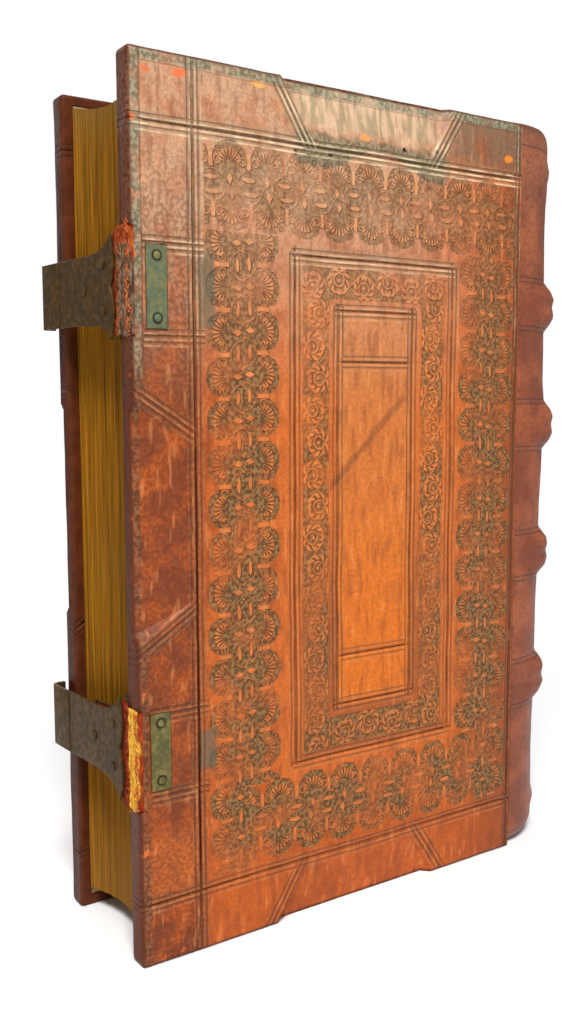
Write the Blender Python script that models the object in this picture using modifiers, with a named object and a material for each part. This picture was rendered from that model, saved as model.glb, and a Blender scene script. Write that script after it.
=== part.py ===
"""Antique leather book: wooden boards, tooled leather, raised bands and two strap clasps.

The book stands on its tail. In the book's own layout x runs from the boards' fore-edge
to the spine, y from the outer face of the back board to that of the front board, and z
from tail to head. An empty carries that layout to the middle of the part's base.
"""

import math

import bmesh
import bpy
from mathutils import Matrix, Vector

# Overall book, in metres
BOOK_HEIGHT = 0.320
BOOK_THICKNESS = 0.0654
JOINT_X = 0.184
SPINE_CENTRE_X = 0.186
GAP = 0.0003
CUTTER_OVERRUN = 0.003
WELD_DISTANCE = 1e-6
SMOOTH_ANGLE = math.radians(35)

# Covers: a wooden board in a leather skin, with a paper sheet pasted inside
WOOD_THICKNESS = 0.0064
LEATHER = 0.0012
TURN_IN_WIDTH = 0.0045
PASTEDOWN_THICKNESS = 0.0009
COVER_ROUNDING = 0.0015
COVER_ROUNDING_STEPS = 3
WOOD_ROUNDING = 0.0012
WOOD_ROUNDING_STEPS = 2
BOARD_JOINT_CLEARANCE = 0.003

# Bevels hewn into the middle of each outer board edge, with slanting stops
BEVEL_DROP = 0.004
BEVEL_WIDTH = 0.021
BEVEL_STOP_SLANT = 0.0135
BEVEL_STOP_RAKE = 1.0
BEVEL_CUTTER_RISE = 0.003
HEAD_BEVEL_SHARES = (0.326, 0.788)
TAIL_BEVEL_SHARES = (0.310, 0.753)
FORE_EDGE_BEVEL_SHARES = (0.370, 0.6375)

# Fillets tooled round the covers in three frames, each line counted in from the board's
# fore-edge, joint, tail and head, with two more lines across the innermost frame
FILLET_WIDTH = 0.0014
FILLET_DEPTH = 0.0006
FILLET_CROSSING = 0.0022
OUTER_FRAME = (0.0222, 0.0020, 0.0227, 0.0220)
MIDDLE_FRAME = (0.0650, 0.0400, 0.0630, 0.0620)
INNER_FRAME = (0.0850, 0.0615, 0.0830, 0.0815)
PANEL_LINE_INSET = 0.0196

# Leaves
HEAD_SQUARE = 0.008
TAIL_SQUARE = 0.008
FORE_EDGE_SQUARE = 0.004
FORE_EDGE_HOLLOW = 0.005
HEAD_SAG = 0.003
HEAD_SAG_SIDES = 96
FORE_EDGE_STEPS = 12
BLOCK_SPINE_STEPS = 28
SHOULDER_SLOPE = 0.0014
BLOCK_CLEARANCE = 0.0006

# Spine with four double cords, and a small ridge over the kettle stitch at each end
BAND_SHARES = (0.236, 0.41875, 0.600, 0.764)
CORD_WIDTH = 0.0064
CORD_THICKNESS = 0.0039
CORD_CLEARANCE = 0.0004
BAND_VALLEY = 0.2
BAND_FOOT = 0.011
BAND_RUN_OUT = (math.radians(50), math.radians(82))
KETTLE_FROM_END = 0.0165
KETTLE_RISE = 0.0009
KETTLE_HALF_WIDTH = 0.005
TAIL_CAP_INSET = 0.0045
HEAD_CAP_INSET = 0.0025
HEAD_CAP_RISE = 0.0008
CAP_LIP = 0.003
CAP_LIP_ROLL = ((0.5, 1.0), (0.1, 0.6))
ENDBAND_RADIUS = 0.0016
ENDBAND_REACH = math.radians(65)
CORD_STEPS = 12
CORD_ROUNDNESS = 2
SPINE_ARC_STEPS = 16

# Clasps: height of the middle of each strap as a share of the book's, how far the nailed
# plate over its end lies from that middle, and how far the strap reaches past the plate
UPPER_CLASP_SHARE = 0.7625
LOWER_CLASP_SHARE = 0.239
UPPER_ANCHOR_SHIFT = -0.0008
LOWER_ANCHOR_SHIFT = 0.0027
UPPER_ANCHOR_X = 0.0038
LOWER_ANCHOR_X = 0.0026
ANCHOR_MARGIN = 0.0045
ANCHOR_WIDTH = 0.0078
PLATE_THICKNESS = 0.0008
PLATE_PROUD = 0.0004
NAIL_INSET = 0.0035
NAIL_HEAD_RADIUS = 0.0015
NAIL_HEAD_HEIGHT = 0.0006
NAIL_SHANK_RADIUS = 0.0007
NAIL_LENGTH = 0.0050
NAIL_POINT = 0.0010
PIN_SIDES = 12
DOME_STEPS = 4

BEND_STEPS = 5
STRAP_THICKNESS = 0.0018
STRAP_WIDTH = 0.037
STRAP_PROUD = 0.0006
STRAP_INLAY = 0.0296
STRAP_BEND_RADIUS = 0.0024
STRAP_EDGE_RUN = 0.0021
STRAP_END_Y = 0.0330
SLIT_X = 0.0020

CLASP_THICKNESS = 0.0010
CLASP_BACK_THICKNESS = 0.0008
CLASP_NECK_HALF = 0.0120
CLASP_TAIL_HALF = 0.0200
CLASP_NECK_Y = 0.0340
CLASP_TAIL_Y = 0.0185
CLASP_LOBE = 0.0022
FLARE_STEPS = 8
LOBE_STEPS = 16
HOOK_THICKNESS = 0.0013
HOOK_LAP = 0.0035
HOOK_BEND_RADIUS = 0.0016
CLASP_STAND_OFF = math.radians(3.5)
RIVET_RADIUS = 0.0011
RIVET_HEAD_RADIUS = 0.0019
RIVET_HEAD_HEIGHT = 0.0005
LOBE_RIVET_Y = 0.0225
LOBE_RIVET_Z = 0.0095
NECK_RIVET_Y = 0.0300

CATCH_LENGTH = 0.024
CATCH_WIDTH = 0.0110
CATCH_X = 0.0012

# Worked out from the sizes above
COVER_THICKNESS = WOOD_THICKNESS + 2 * (LEATHER + GAP)
HEAD_BEVEL = tuple(share * JOINT_X for share in HEAD_BEVEL_SHARES)
TAIL_BEVEL = tuple(share * JOINT_X for share in TAIL_BEVEL_SHARES)
FORE_EDGE_BEVEL = tuple(share * BOOK_HEIGHT for share in FORE_EDGE_BEVEL_SHARES)
BAND_HEIGHTS = tuple(share * BOOK_HEIGHT for share in BAND_SHARES)
SPINE_CENTRE_Y = BOOK_THICKNESS / 2
SPINE_RADIUS = BOOK_THICKNESS / 2
BLOCK_RADIUS = SPINE_RADIUS - LEATHER - GAP
BAND_RISE = CORD_THICKNESS + GAP + CORD_CLEARANCE
HOOK_FACE_Y = BOOK_THICKNESS + PLATE_PROUD + GAP
STRAP_FACE_X = -STRAP_PROUD
ANCHOR_LENGTH = STRAP_WIDTH - 2 * ANCHOR_MARGIN
CLASP_PIVOT = (STRAP_FACE_X, LEATHER + GAP + STRAP_BEND_RADIUS + STRAP_EDGE_RUN)
HOOK_INNER_X = STRAP_FACE_X - GAP
HOOK_CENTRE = (HOOK_INNER_X + HOOK_BEND_RADIUS, HOOK_FACE_Y - HOOK_BEND_RADIUS)
NAIL_FACE = -PLATE_PROUD - NAIL_HEAD_HEIGHT


def clear_scene():
    """Empty the scene, so that the script gives the same result each run."""
    for item in list(bpy.data.objects):
        bpy.data.objects.remove(item, do_unlink=True)
    for group in list(bpy.data.collections):
        bpy.data.collections.remove(group)


def make_collection(name):
    """Add a collection to the scene."""
    group = bpy.data.collections.new(name)
    bpy.context.scene.collection.children.link(group)
    return group


def make_material(name, colour, roughness, metallic=0.0):
    """Return a Principled material with the piece's plain colour."""
    material = bpy.data.materials.new(name)
    material.use_nodes = True
    shader = material.node_tree.nodes["Principled BSDF"]
    shader.inputs["Base Color"].default_value = (*colour, 1.0)
    shader.inputs["Roughness"].default_value = roughness
    shader.inputs["Metallic"].default_value = metallic
    material.diffuse_color = (*colour, 1.0)
    return material


class Frame:
    """A parent empty whose children are modelled in the book's own layout."""

    def __init__(self, name, pivot, parent=None, turn=0.0):
        self.pivot = Vector(pivot)
        self.empty = bpy.data.objects.new(name, None)
        bpy.context.scene.collection.objects.link(self.empty)
        self.empty.location = self.pivot
        self.empty.rotation_euler = (0.0, 0.0, turn)
        if parent is not None:
            self.empty.parent = parent.empty
            self.empty.location = self.pivot - parent.pivot

    def adopt(self, item):
        """Hang an object modelled in the book's layout under this empty."""
        item.parent = self.empty
        item.location = -self.pivot


class Side:
    """One cover: depths are counted from its outer face into the book."""

    def __init__(self, name, outer_y, inward):
        self.name = name
        self.outer_y = outer_y
        self.inward = inward

    def y(self, depth):
        """Turn a depth below the cover's outer face into the book's y."""
        return self.outer_y + self.inward * depth


def finished_mesh(work, name):
    """Turn bmesh work into a mesh whose faces point outward."""
    work.normal_update()
    bmesh.ops.recalc_face_normals(work, faces=work.faces)
    mesh = bpy.data.meshes.new(name)
    work.to_mesh(mesh)
    work.free()
    return mesh


def box_mesh(name, low, high):
    """Return a box between two corners, given in any order."""
    lower = Vector(map(min, low, high))
    upper = Vector(map(max, low, high))
    work = bmesh.new()
    bmesh.ops.create_cube(work, size=1.0)
    bmesh.ops.scale(work, vec=upper - lower, verts=work.verts)
    bmesh.ops.translate(work, vec=(lower + upper) / 2, verts=work.verts)
    return finished_mesh(work, name)


def flat_mesh(name, outline, thickness, to_layout):
    """Return a plate: a closed 2D outline, thickened evenly to both sides of its plane."""
    curve = bpy.data.curves.new(name, "CURVE")
    curve.dimensions = "2D"
    curve.fill_mode = "BOTH"
    curve.extrude = thickness / 2
    spline = curve.splines.new("POLY")
    spline.points.add(len(outline) - 1)
    for point, (across, along) in zip(spline.points, outline):
        point.co = (across, along, 0.0, 1.0)
    spline.use_cyclic_u = True
    holder = bpy.data.objects.new(name + "_outline", curve)
    bpy.context.scene.collection.objects.link(holder)
    mesh = mesh_from(holder, name)
    mesh.transform(to_layout)
    return mesh


def mesh_from(holder, name):
    """Turn a curve object into a welded mesh and remove the curve."""
    graph = bpy.context.evaluated_depsgraph_get()
    loose = holder.evaluated_get(graph).to_mesh()
    work = bmesh.new()
    work.from_mesh(loose)
    bmesh.ops.remove_doubles(work, verts=work.verts, dist=WELD_DISTANCE)
    mesh = finished_mesh(work, name)
    bpy.data.objects.remove(holder, do_unlink=True)
    return mesh


def plan_plane(middle_z):
    """Outline in x and y, thickness along z."""
    return Matrix.Translation((0.0, 0.0, middle_z))


def edge_plane(middle_x, middle_z):
    """Outline in y and z, thickness along x."""
    turn = Matrix(((0, 0, 1, 0), (1, 0, 0, 0), (0, 1, 0, 0), (0, 0, 0, 1)))
    return Matrix.Translation((middle_x, 0.0, middle_z)) @ turn


def arc(centre, radius, start, end, steps):
    """Points of a circular arc, both ends included, angles in radians."""
    angles = [start + (end - start) * step / steps for step in range(steps + 1)]
    return [(centre[0] + radius * math.cos(a), centre[1] + radius * math.sin(a)) for a in angles]


def add_piece(mesh, frame, material, group):
    """Make one named piece of the book from a mesh."""
    piece = bpy.data.objects.new(mesh.name, mesh)
    mesh.materials.clear()
    mesh.materials.append(material)
    group.objects.link(piece)
    frame.adopt(piece)
    return piece


def add_cutter(mesh, frame, group):
    """Make a hidden cutting body."""
    cutter = bpy.data.objects.new(mesh.name, mesh)
    group.objects.link(cutter)
    frame.adopt(cutter)
    cutter.hide_render = True
    cutter.display_type = "WIRE"
    return cutter


def combine(piece, other, operation="DIFFERENCE"):
    """Cut another body from a piece, or join it on."""
    modifier = piece.modifiers.new(other.name, "BOOLEAN")
    modifier.operation = operation
    modifier.solver = "EXACT"
    modifier.object = other


def round_edges(piece, width, segments):
    """Round all edges of a box."""
    bevel = piece.modifiers.new("rounding", "BEVEL")
    bevel.width = width
    bevel.segments = segments
    bevel.limit_method = "ANGLE"


def smooth(piece):
    """Shade a round piece smooth up to its sharp corners."""
    piece.data.shade_smooth()
    piece.data.set_sharp_from_angle(angle=SMOOTH_ANGLE)


def edge_bevel_mesh(name, side, span, edge, sunk):
    """Return the wedge that hews a stopped bevel off one board edge.

    span is the bevel's length along the edge, edge is where it lies: head, tail or
    fore_edge. sunk lowers the wedge, for the hollow and the board below the leather.
    """
    low, high = span
    slope = BEVEL_DROP / BEVEL_WIDTH
    reach = BEVEL_WIDTH + BEVEL_CUTTER_RISE / slope
    work = bmesh.new()
    bmesh.ops.create_cube(work, size=2.0)
    for vertex in work.verts:
        inward = reach if vertex.co.z > 0 else -BEVEL_CUTTER_RISE
        floor = BEVEL_DROP - inward * slope + sunk
        depth = floor if vertex.co.y > 0 else -3 * BEVEL_CUTTER_RISE
        stop = BEVEL_STOP_SLANT * inward / BEVEL_WIDTH + BEVEL_STOP_RAKE * (depth - sunk)
        along = low + stop if vertex.co.x < 0 else high - stop
        places = {
            "fore_edge": (inward, side.y(depth), along),
            "tail": (along, side.y(depth), inward),
            "head": (along, side.y(depth), BOOK_HEIGHT - inward),
        }
        vertex.co = places[edge]
    return finished_mesh(work, name)


def fillet_mesh(name, side, lines):
    """Return the square bars, set on edge, that press V-shaped fillets into one cover.

    lines are pairs of points in x and z. All lines of one mesh run the same way. Each bar
    stands out of the leather by more than it sinks in.
    """
    work = bmesh.new()
    for start, end in lines:
        along = (Vector(end) - Vector(start)).normalized()
        across = Vector((along.y, -along.x)) * FILLET_WIDTH
        bar = bmesh.ops.create_cube(work, size=1.0)["verts"]
        for vertex in bar:
            middle = Vector(end) if vertex.co.z > 0 else Vector(start)
            x, z = middle + across * (vertex.co.x - vertex.co.y)
            depth = FILLET_DEPTH * (2 * (vertex.co.x + vertex.co.y) - 1)
            vertex.co = (x, side.y(depth), z)
    return finished_mesh(work, name)


def frame_lines(frame, crossing):
    """The upright and the level lines of one tooled frame, run past its corners."""
    left, right = frame[0], JOINT_X - frame[1]
    tail, head = frame[2], BOOK_HEIGHT - frame[3]
    upright = [((x, tail - crossing), (x, head + crossing)) for x in (left, right)]
    level = [((left - crossing, z), (right + crossing, z)) for z in (tail, head)]
    return upright, level


def press_fillets(skin, side, frame, cutters):
    """Tool the three frames of fillets, and the lines across the panel, into a cover."""
    uprights, levels = frame_lines(OUTER_FRAME, OUTER_FRAME[2] + CUTTER_OVERRUN)
    for tooled in (MIDDLE_FRAME, INNER_FRAME):
        upright, level = frame_lines(tooled, FILLET_CROSSING)
        uprights += upright
        levels += level
    left, right = INNER_FRAME[0], JOINT_X - INNER_FRAME[1]
    low_z = INNER_FRAME[2] + PANEL_LINE_INSET
    high_z = BOOK_HEIGHT - INNER_FRAME[3] - PANEL_LINE_INSET
    levels += [((left, z), (right, z)) for z in (low_z, high_z)]
    for label, lines in (("upright", uprights), ("level", levels)):
        mesh = fillet_mesh(f"{side.name}_{label}_fillets", side, lines)
        combine(skin, add_cutter(mesh, frame, cutters))


def board_bevels(side, frame, cutters, label, sunk):
    """Cutters of the three stopped bevels on one cover."""
    spans = {"head": HEAD_BEVEL, "tail": TAIL_BEVEL, "fore_edge": FORE_EDGE_BEVEL}
    bodies = []
    for edge, span in spans.items():
        mesh = edge_bevel_mesh(f"{side.name}_{edge}_{label}", side, span, edge, sunk)
        bodies.append(add_cutter(mesh, frame, cutters))
    return bodies


def cover_skin(side, frame, groups, material):
    """The leather: outer face, three edges and the turn-ins round the inside."""
    parts, cutters = groups
    mesh = box_mesh(
        f"{side.name}_cover_leather",
        (0.0, side.y(0.0), 0.0),
        (JOINT_X + COVER_ROUNDING * 2, side.y(COVER_THICKNESS), BOOK_HEIGHT),
    )
    skin = add_piece(mesh, frame, material, parts)
    round_edges(skin, COVER_ROUNDING, COVER_ROUNDING_STEPS)
    for bevel in board_bevels(side, frame, cutters, "skin_bevel", 0.0):
        combine(skin, bevel)
    combine(skin, skin_cavity(side, frame, cutters))
    window = box_mesh(
        f"{side.name}_window",
        (TURN_IN_WIDTH, side.y(LEATHER + WOOD_THICKNESS / 2), TURN_IN_WIDTH),
        (
            JOINT_X + 2 * CUTTER_OVERRUN,
            side.y(COVER_THICKNESS + CUTTER_OVERRUN),
            BOOK_HEIGHT - TURN_IN_WIDTH,
        ),
    )
    combine(skin, add_cutter(window, frame, cutters))
    press_fillets(skin, side, frame, cutters)
    trim = box_mesh(
        f"{side.name}_joint_trim",
        (JOINT_X - GAP / 2, side.y(-CUTTER_OVERRUN), -CUTTER_OVERRUN),
        (
            JOINT_X + OUTER_FRAME[2] + 2 * CUTTER_OVERRUN,
            side.y(COVER_THICKNESS + 2 * CUTTER_OVERRUN),
            BOOK_HEIGHT + CUTTER_OVERRUN,
        ),
    )
    combine(skin, add_cutter(trim, frame, cutters))
    smooth(skin)
    return skin


def skin_cavity(side, frame, cutters):
    """The hollow inside the leather, which holds the board with a hair's gap."""
    mesh = box_mesh(
        f"{side.name}_cavity",
        (LEATHER, side.y(LEATHER), LEATHER),
        (JOINT_X + 2 * CUTTER_OVERRUN, side.y(COVER_THICKNESS - LEATHER), BOOK_HEIGHT - LEATHER),
    )
    cavity = add_cutter(mesh, frame, cutters)
    round_edges(cavity, WOOD_ROUNDING, WOOD_ROUNDING_STEPS)
    for bevel in board_bevels(side, frame, cutters, "cavity_bevel", LEATHER):
        combine(cavity, bevel)
    return cavity


def wooden_board(side, frame, groups, material):
    """The board, with the same hewn bevels as the leather over it."""
    parts, cutters = groups
    margin = LEATHER + GAP
    mesh = box_mesh(
        f"{side.name}_board",
        (margin, side.y(margin), margin),
        (JOINT_X - BOARD_JOINT_CLEARANCE, side.y(margin + WOOD_THICKNESS), BOOK_HEIGHT - margin),
    )
    board = add_piece(mesh, frame, material, parts)
    round_edges(board, WOOD_ROUNDING, WOOD_ROUNDING_STEPS)
    for bevel in board_bevels(side, frame, cutters, "wood_bevel", margin):
        combine(board, bevel)
    return board


def pastedown(side, frame, groups, material):
    """The sheet pasted to the inside of a board, framed by the turn-ins."""
    depth = LEATHER + GAP + WOOD_THICKNESS + GAP
    margin = TURN_IN_WIDTH + GAP
    mesh = box_mesh(
        f"{side.name}_pastedown",
        (margin, side.y(depth), margin),
        (
            JOINT_X - BOARD_JOINT_CLEARANCE,
            side.y(depth + PASTEDOWN_THICKNESS),
            BOOK_HEIGHT - margin,
        ),
    )
    return add_piece(mesh, frame, material, groups[0])


def make_cover(side, frame, groups, materials):
    """Board, leather and pastedown of one cover."""
    board = wooden_board(side, frame, groups, materials["wood"])
    skin = cover_skin(side, frame, groups, materials["leather"])
    pastedown(side, frame, groups, materials["pastedown"])
    return board, skin


def text_block(frame, groups, material):
    """The leaves: a hollow fore-edge, backed shoulders and a round spine, sagging at the head."""
    parts, cutters = groups
    near_y = COVER_THICKNESS + BLOCK_CLEARANCE
    far_y = BOOK_THICKNESS - near_y
    half = (far_y - near_y) / 2
    hollow_radius = (half ** 2 + FORE_EDGE_HOLLOW ** 2) / (2 * FORE_EDGE_HOLLOW)
    hollow_angle = math.asin(half / hollow_radius)
    hollow_centre = (FORE_EDGE_SQUARE + FORE_EDGE_HOLLOW - hollow_radius, SPINE_CENTRE_Y)
    quarter = math.pi / 2
    outline = arc(hollow_centre, hollow_radius, hollow_angle, -hollow_angle, FORE_EDGE_STEPS)
    outline.append((SPINE_CENTRE_X - SHOULDER_SLOPE, near_y))
    spine_centre = (SPINE_CENTRE_X, SPINE_CENTRE_Y)
    outline += arc(spine_centre, BLOCK_RADIUS, -quarter, quarter, BLOCK_SPINE_STEPS)
    outline.append((SPINE_CENTRE_X - SHOULDER_SLOPE, far_y))
    height = BOOK_HEIGHT - HEAD_SQUARE - TAIL_SQUARE
    mesh = flat_mesh("text_block", outline, height, plan_plane(TAIL_SQUARE + height / 2))
    block = add_piece(mesh, frame, material, parts)
    combine(block, head_sag_cutter(half, frame, cutters))
    return block


def head_sag_cutter(half, frame, cutters):
    """A long drum that hollows the head of the leaves, which have sunk in the middle."""
    drum_radius = (half ** 2 + HEAD_SAG ** 2) / (2 * HEAD_SAG)
    length = SPINE_CENTRE_X + BLOCK_RADIUS
    work = bmesh.new()
    bmesh.ops.create_cone(
        work,
        cap_ends=True,
        segments=HEAD_SAG_SIDES,
        radius1=drum_radius,
        radius2=drum_radius,
        depth=length + 2 * CUTTER_OVERRUN,
    )
    along_x = Matrix.Rotation(math.radians(90), 4, "Y")
    head_z = BOOK_HEIGHT - HEAD_SQUARE
    centre = Vector((length / 2, SPINE_CENTRE_Y, head_z - HEAD_SAG + drum_radius))
    work.transform(Matrix.Translation(centre) @ along_x)
    return add_cutter(finished_mesh(work, "head_sag"), frame, cutters)


def smooth_step(value):
    """Ease from 0 to 1."""
    clamped = min(max(value, 0.0), 1.0)
    return clamped * clamped * (3 - 2 * clamped)


def band_rise(distance):
    """Height of the leather over a double cord, at a distance from the band's middle."""
    away = abs(distance)
    if away < CORD_WIDTH:
        return BAND_RISE * (1 - BAND_VALLEY * (1 - math.sin(math.pi * away / CORD_WIDTH)))
    fall = (away - CORD_WIDTH) / (BAND_FOOT - CORD_WIDTH)
    return BAND_RISE * (1 - BAND_VALLEY) * smooth_step(1 - fall)


def kettle_rise(z):
    """Height of the small ridge over the kettle stitches at both ends of the spine."""
    nearest = min(z, BOOK_HEIGHT - z)
    away = abs(nearest - KETTLE_FROM_END) / KETTLE_HALF_WIDTH
    return KETTLE_RISE * smooth_step(1 - away)


def cap_inset(z):
    """How far the leather is drawn in over the ends of the spine."""
    tail = max(0.0, 1 - z / TAIL_SQUARE)
    head_start = BOOK_HEIGHT - HEAD_SQUARE / 2
    head = max(0.0, (z - head_start) / (BOOK_HEIGHT + HEAD_CAP_RISE - head_start))
    return TAIL_CAP_INSET * tail ** 1.5 + HEAD_CAP_INSET * head ** 2


def spine_stations():
    """Heights of the spine's cross sections, closer together over the bands and caps."""
    stations = [TAIL_SQUARE * share for share in (0.0, 0.25, 0.55, 1.0)]
    for share in (-1.0, 0.0, 1.0):
        stations.append(KETTLE_FROM_END + share * KETTLE_HALF_WIDTH)
        stations.append(BOOK_HEIGHT - KETTLE_FROM_END + share * KETTLE_HALF_WIDTH)
    slope = BAND_FOOT - CORD_WIDTH
    for centre in BAND_HEIGHTS:
        stations.append(centre)
        for away in (0.5 * CORD_WIDTH, CORD_WIDTH, CORD_WIDTH + slope / 2, BAND_FOOT):
            stations += [centre - away, centre + away]
    head_start = BOOK_HEIGHT - HEAD_SQUARE / 2
    head_end = BOOK_HEIGHT + HEAD_CAP_RISE
    stations += [head_start + (head_end - head_start) * share for share in (0.0, 0.5, 0.8, 1.0)]
    return sorted(stations)


def spine_rows():
    """Cross sections of the spine as height and shift of the surface, lips included."""
    top = BOOK_HEIGHT + HEAD_CAP_RISE
    rows = [(rise * CAP_LIP, TAIL_CAP_INSET + reach * CAP_LIP) for rise, reach in CAP_LIP_ROLL]
    rows += [(z, cap_inset(z)) for z in spine_stations()]
    for rise, reach in reversed(CAP_LIP_ROLL):
        rows.append((top - rise * CAP_LIP, HEAD_CAP_INSET + reach * CAP_LIP))
    return rows


def spine_leather(frame, groups, material):
    """The skin over the round spine, moulded over the double cords and drawn in at its ends."""
    rows = spine_rows()
    columns = SPINE_ARC_STEPS + 2
    work = bmesh.new()
    bmesh.ops.create_grid(work, x_segments=columns, y_segments=len(rows) - 1, size=0.5)
    for vertex in work.verts:
        column = round((vertex.co.x + 0.5) * columns)
        row = round((vertex.co.y + 0.5) * (len(rows) - 1))
        vertex.co = spine_point(column, columns, rows[row])
    mesh = finished_mesh(work, "spine_leather")
    turn_away_from(mesh, Vector((SPINE_CENTRE_X, SPINE_CENTRE_Y, BOOK_HEIGHT / 2)))
    skin = add_piece(mesh, frame, material, groups[0])
    thicken = skin.modifiers.new("thickness", "SOLIDIFY")
    thicken.thickness = LEATHER
    thicken.offset = -1.0
    thicken.use_even_offset = True
    smooth(skin)
    return skin


def spine_point(column, columns, row):
    """A point of the spine's outer surface: a half round with a short flat at each joint."""
    z, inset = row
    angle = math.radians(-90 + 180 * (column - 1) / (columns - 2))
    angle = min(max(angle, -math.pi / 2), math.pi / 2)
    run_out, vanish = BAND_RUN_OUT[1], BAND_RUN_OUT[0]
    strength = smooth_step((run_out - abs(angle)) / (run_out - vanish))
    rise = max([kettle_rise(z)] + [band_rise(z - centre) for centre in BAND_HEIGHTS])
    radius = SPINE_RADIUS - inset + rise * strength
    x = SPINE_CENTRE_X + radius * math.cos(angle)
    if column in (0, columns):
        x = JOINT_X + GAP / 2
    return Vector((x, SPINE_CENTRE_Y + radius * math.sin(angle), z))


def turn_away_from(mesh, middle):
    """Flip an open surface where its faces look toward the given point."""
    largest = max(mesh.polygons, key=lambda polygon: polygon.area)
    if largest.normal.dot(largest.center - middle) < 0:
        mesh.flip_normals()


def tube_mesh(name, points, radius):
    """Return a closed round rod along some points."""
    curve = bpy.data.curves.new(name, "CURVE")
    curve.dimensions = "3D"
    curve.bevel_depth = radius
    curve.bevel_resolution = CORD_ROUNDNESS
    curve.use_fill_caps = True
    spline = curve.splines.new("POLY")
    spline.points.add(len(points) - 1)
    for point, place in zip(spline.points, points):
        point.co = (*place, 1.0)
    holder = bpy.data.objects.new(name + "_line", curve)
    bpy.context.scene.collection.objects.link(holder)
    return mesh_from(holder, name)


def spine_arc(radius, reach, steps, z):
    """Points round the spine at one height."""
    centre = (SPINE_CENTRE_X, SPINE_CENTRE_Y)
    return [(x, y, z) for x, y in arc(centre, radius, -reach, reach, steps)]


def sewing_band(number, height, frame, groups, material):
    """One sewing support: two flattened cords side by side round the back of the leaves."""
    parts, cutters = groups
    cord_radius = CORD_THICKNESS / 2
    middle_radius = BLOCK_RADIUS + GAP + cord_radius
    flatten = Matrix.Scale(CORD_WIDTH / CORD_THICKNESS, 4, (0.0, 0.0, 1.0))
    offset = CORD_WIDTH / 2 - GAP
    cords = []
    for label, shift in (("", -offset), ("_twin", offset)):
        points = spine_arc(middle_radius, BAND_RUN_OUT[0], CORD_STEPS, 0.0)
        mesh = tube_mesh(f"sewing_band_{number}{label}", points, cord_radius)
        mesh.transform(Matrix.Translation((0.0, 0.0, height + shift)) @ flatten)
        cords.append(mesh)
    band = add_piece(cords[0], frame, material, parts)
    combine(band, add_cutter(cords[1], frame, cutters), "UNION")
    smooth(band)
    return band


def endband(name, z, frame, groups, material):
    """The sewn cord along the end of the leaves, under the leather cap."""
    radius = BLOCK_RADIUS - 2 * ENDBAND_RADIUS
    points = spine_arc(radius, ENDBAND_REACH, CORD_STEPS, z)
    band = add_piece(tube_mesh(name, points, ENDBAND_RADIUS), frame, material, groups[0])
    smooth(band)
    return band


def strap_base_mesh(name, middle_z):
    """The anchored strap: inlaid under the leather and bent round the board's edge."""
    top = LEATHER + GAP
    outer = STRAP_BEND_RADIUS
    inner = STRAP_BEND_RADIUS - STRAP_THICKNESS
    corner = (STRAP_FACE_X + outer, top + outer)
    outline = [(STRAP_INLAY, top), (STRAP_INLAY, top + STRAP_THICKNESS)]
    outline += arc(corner, inner, -math.pi / 2, -math.pi, BEND_STEPS)
    end_y = CLASP_PIVOT[1] - GAP / 2
    outline += [(STRAP_FACE_X + STRAP_THICKNESS, end_y), (STRAP_FACE_X, end_y)]
    outline += arc(corner, outer, -math.pi, -math.pi / 2, BEND_STEPS)
    return flat_mesh(name, outline, STRAP_WIDTH, plan_plane(middle_z))


def fishtail_outline(neck_end):
    """Half-mirrored outline of a clasp plate: straight neck, flared tail and two lobes."""
    flare = []
    for step in range(FLARE_STEPS + 1):
        share = step / FLARE_STEPS
        y = CLASP_NECK_Y + (CLASP_TAIL_Y - CLASP_NECK_Y) * share
        spread = 1 - math.sqrt(1 - share ** 2)
        flare.append((y, CLASP_NECK_HALF + (CLASP_TAIL_HALF - CLASP_NECK_HALF) * spread))
    lobes = []
    for step in range(1, LOBE_STEPS):
        z = CLASP_TAIL_HALF * (1 - 2 * step / LOBE_STEPS)
        bulge = CLASP_LOBE * math.sin(math.pi * abs(z) / CLASP_TAIL_HALF)
        lobes.append((CLASP_TAIL_Y - bulge, z))
    mirrored = [(y, -z) for y, z in reversed(flare)]
    outline = [(neck_end, CLASP_NECK_HALF)] + flare + lobes + mirrored
    outline.append((neck_end, -CLASP_NECK_HALF))
    return outline


def hook_mesh(name, middle_z):
    """The hook: the clasp's end bent over the other board's edge."""
    start_y = BOOK_THICKNESS - 2 * COVER_THICKNESS
    far_y = HOOK_FACE_Y + HOOK_THICKNESS
    outline = [(HOOK_INNER_X - HOOK_THICKNESS, start_y)]
    outline += arc(HOOK_CENTRE, HOOK_BEND_RADIUS + HOOK_THICKNESS, math.pi, math.pi / 2, BEND_STEPS)
    outline += [(HOOK_LAP, far_y), (HOOK_LAP, HOOK_FACE_Y)]
    outline += arc(HOOK_CENTRE, HOOK_BEND_RADIUS, math.pi / 2, math.pi, BEND_STEPS)
    outline.append((HOOK_INNER_X, start_y))
    return flat_mesh(name, outline, 2 * CLASP_NECK_HALF, plan_plane(middle_z))


def rod_mesh(name, radius, start, end, axis):
    """Return a round rod between two points along one axis."""
    start = Vector(start)
    end = Vector(end)
    work = bmesh.new()
    length = (end - start).length
    bmesh.ops.create_cone(
        work, cap_ends=True, segments=PIN_SIDES, radius1=radius, radius2=radius, depth=length
    )
    turn = Matrix.Rotation(math.radians(90), 4, "X" if axis == "y" else "Y")
    work.transform(Matrix.Translation((start + end) / 2) @ turn)
    return finished_mesh(work, name)


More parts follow.
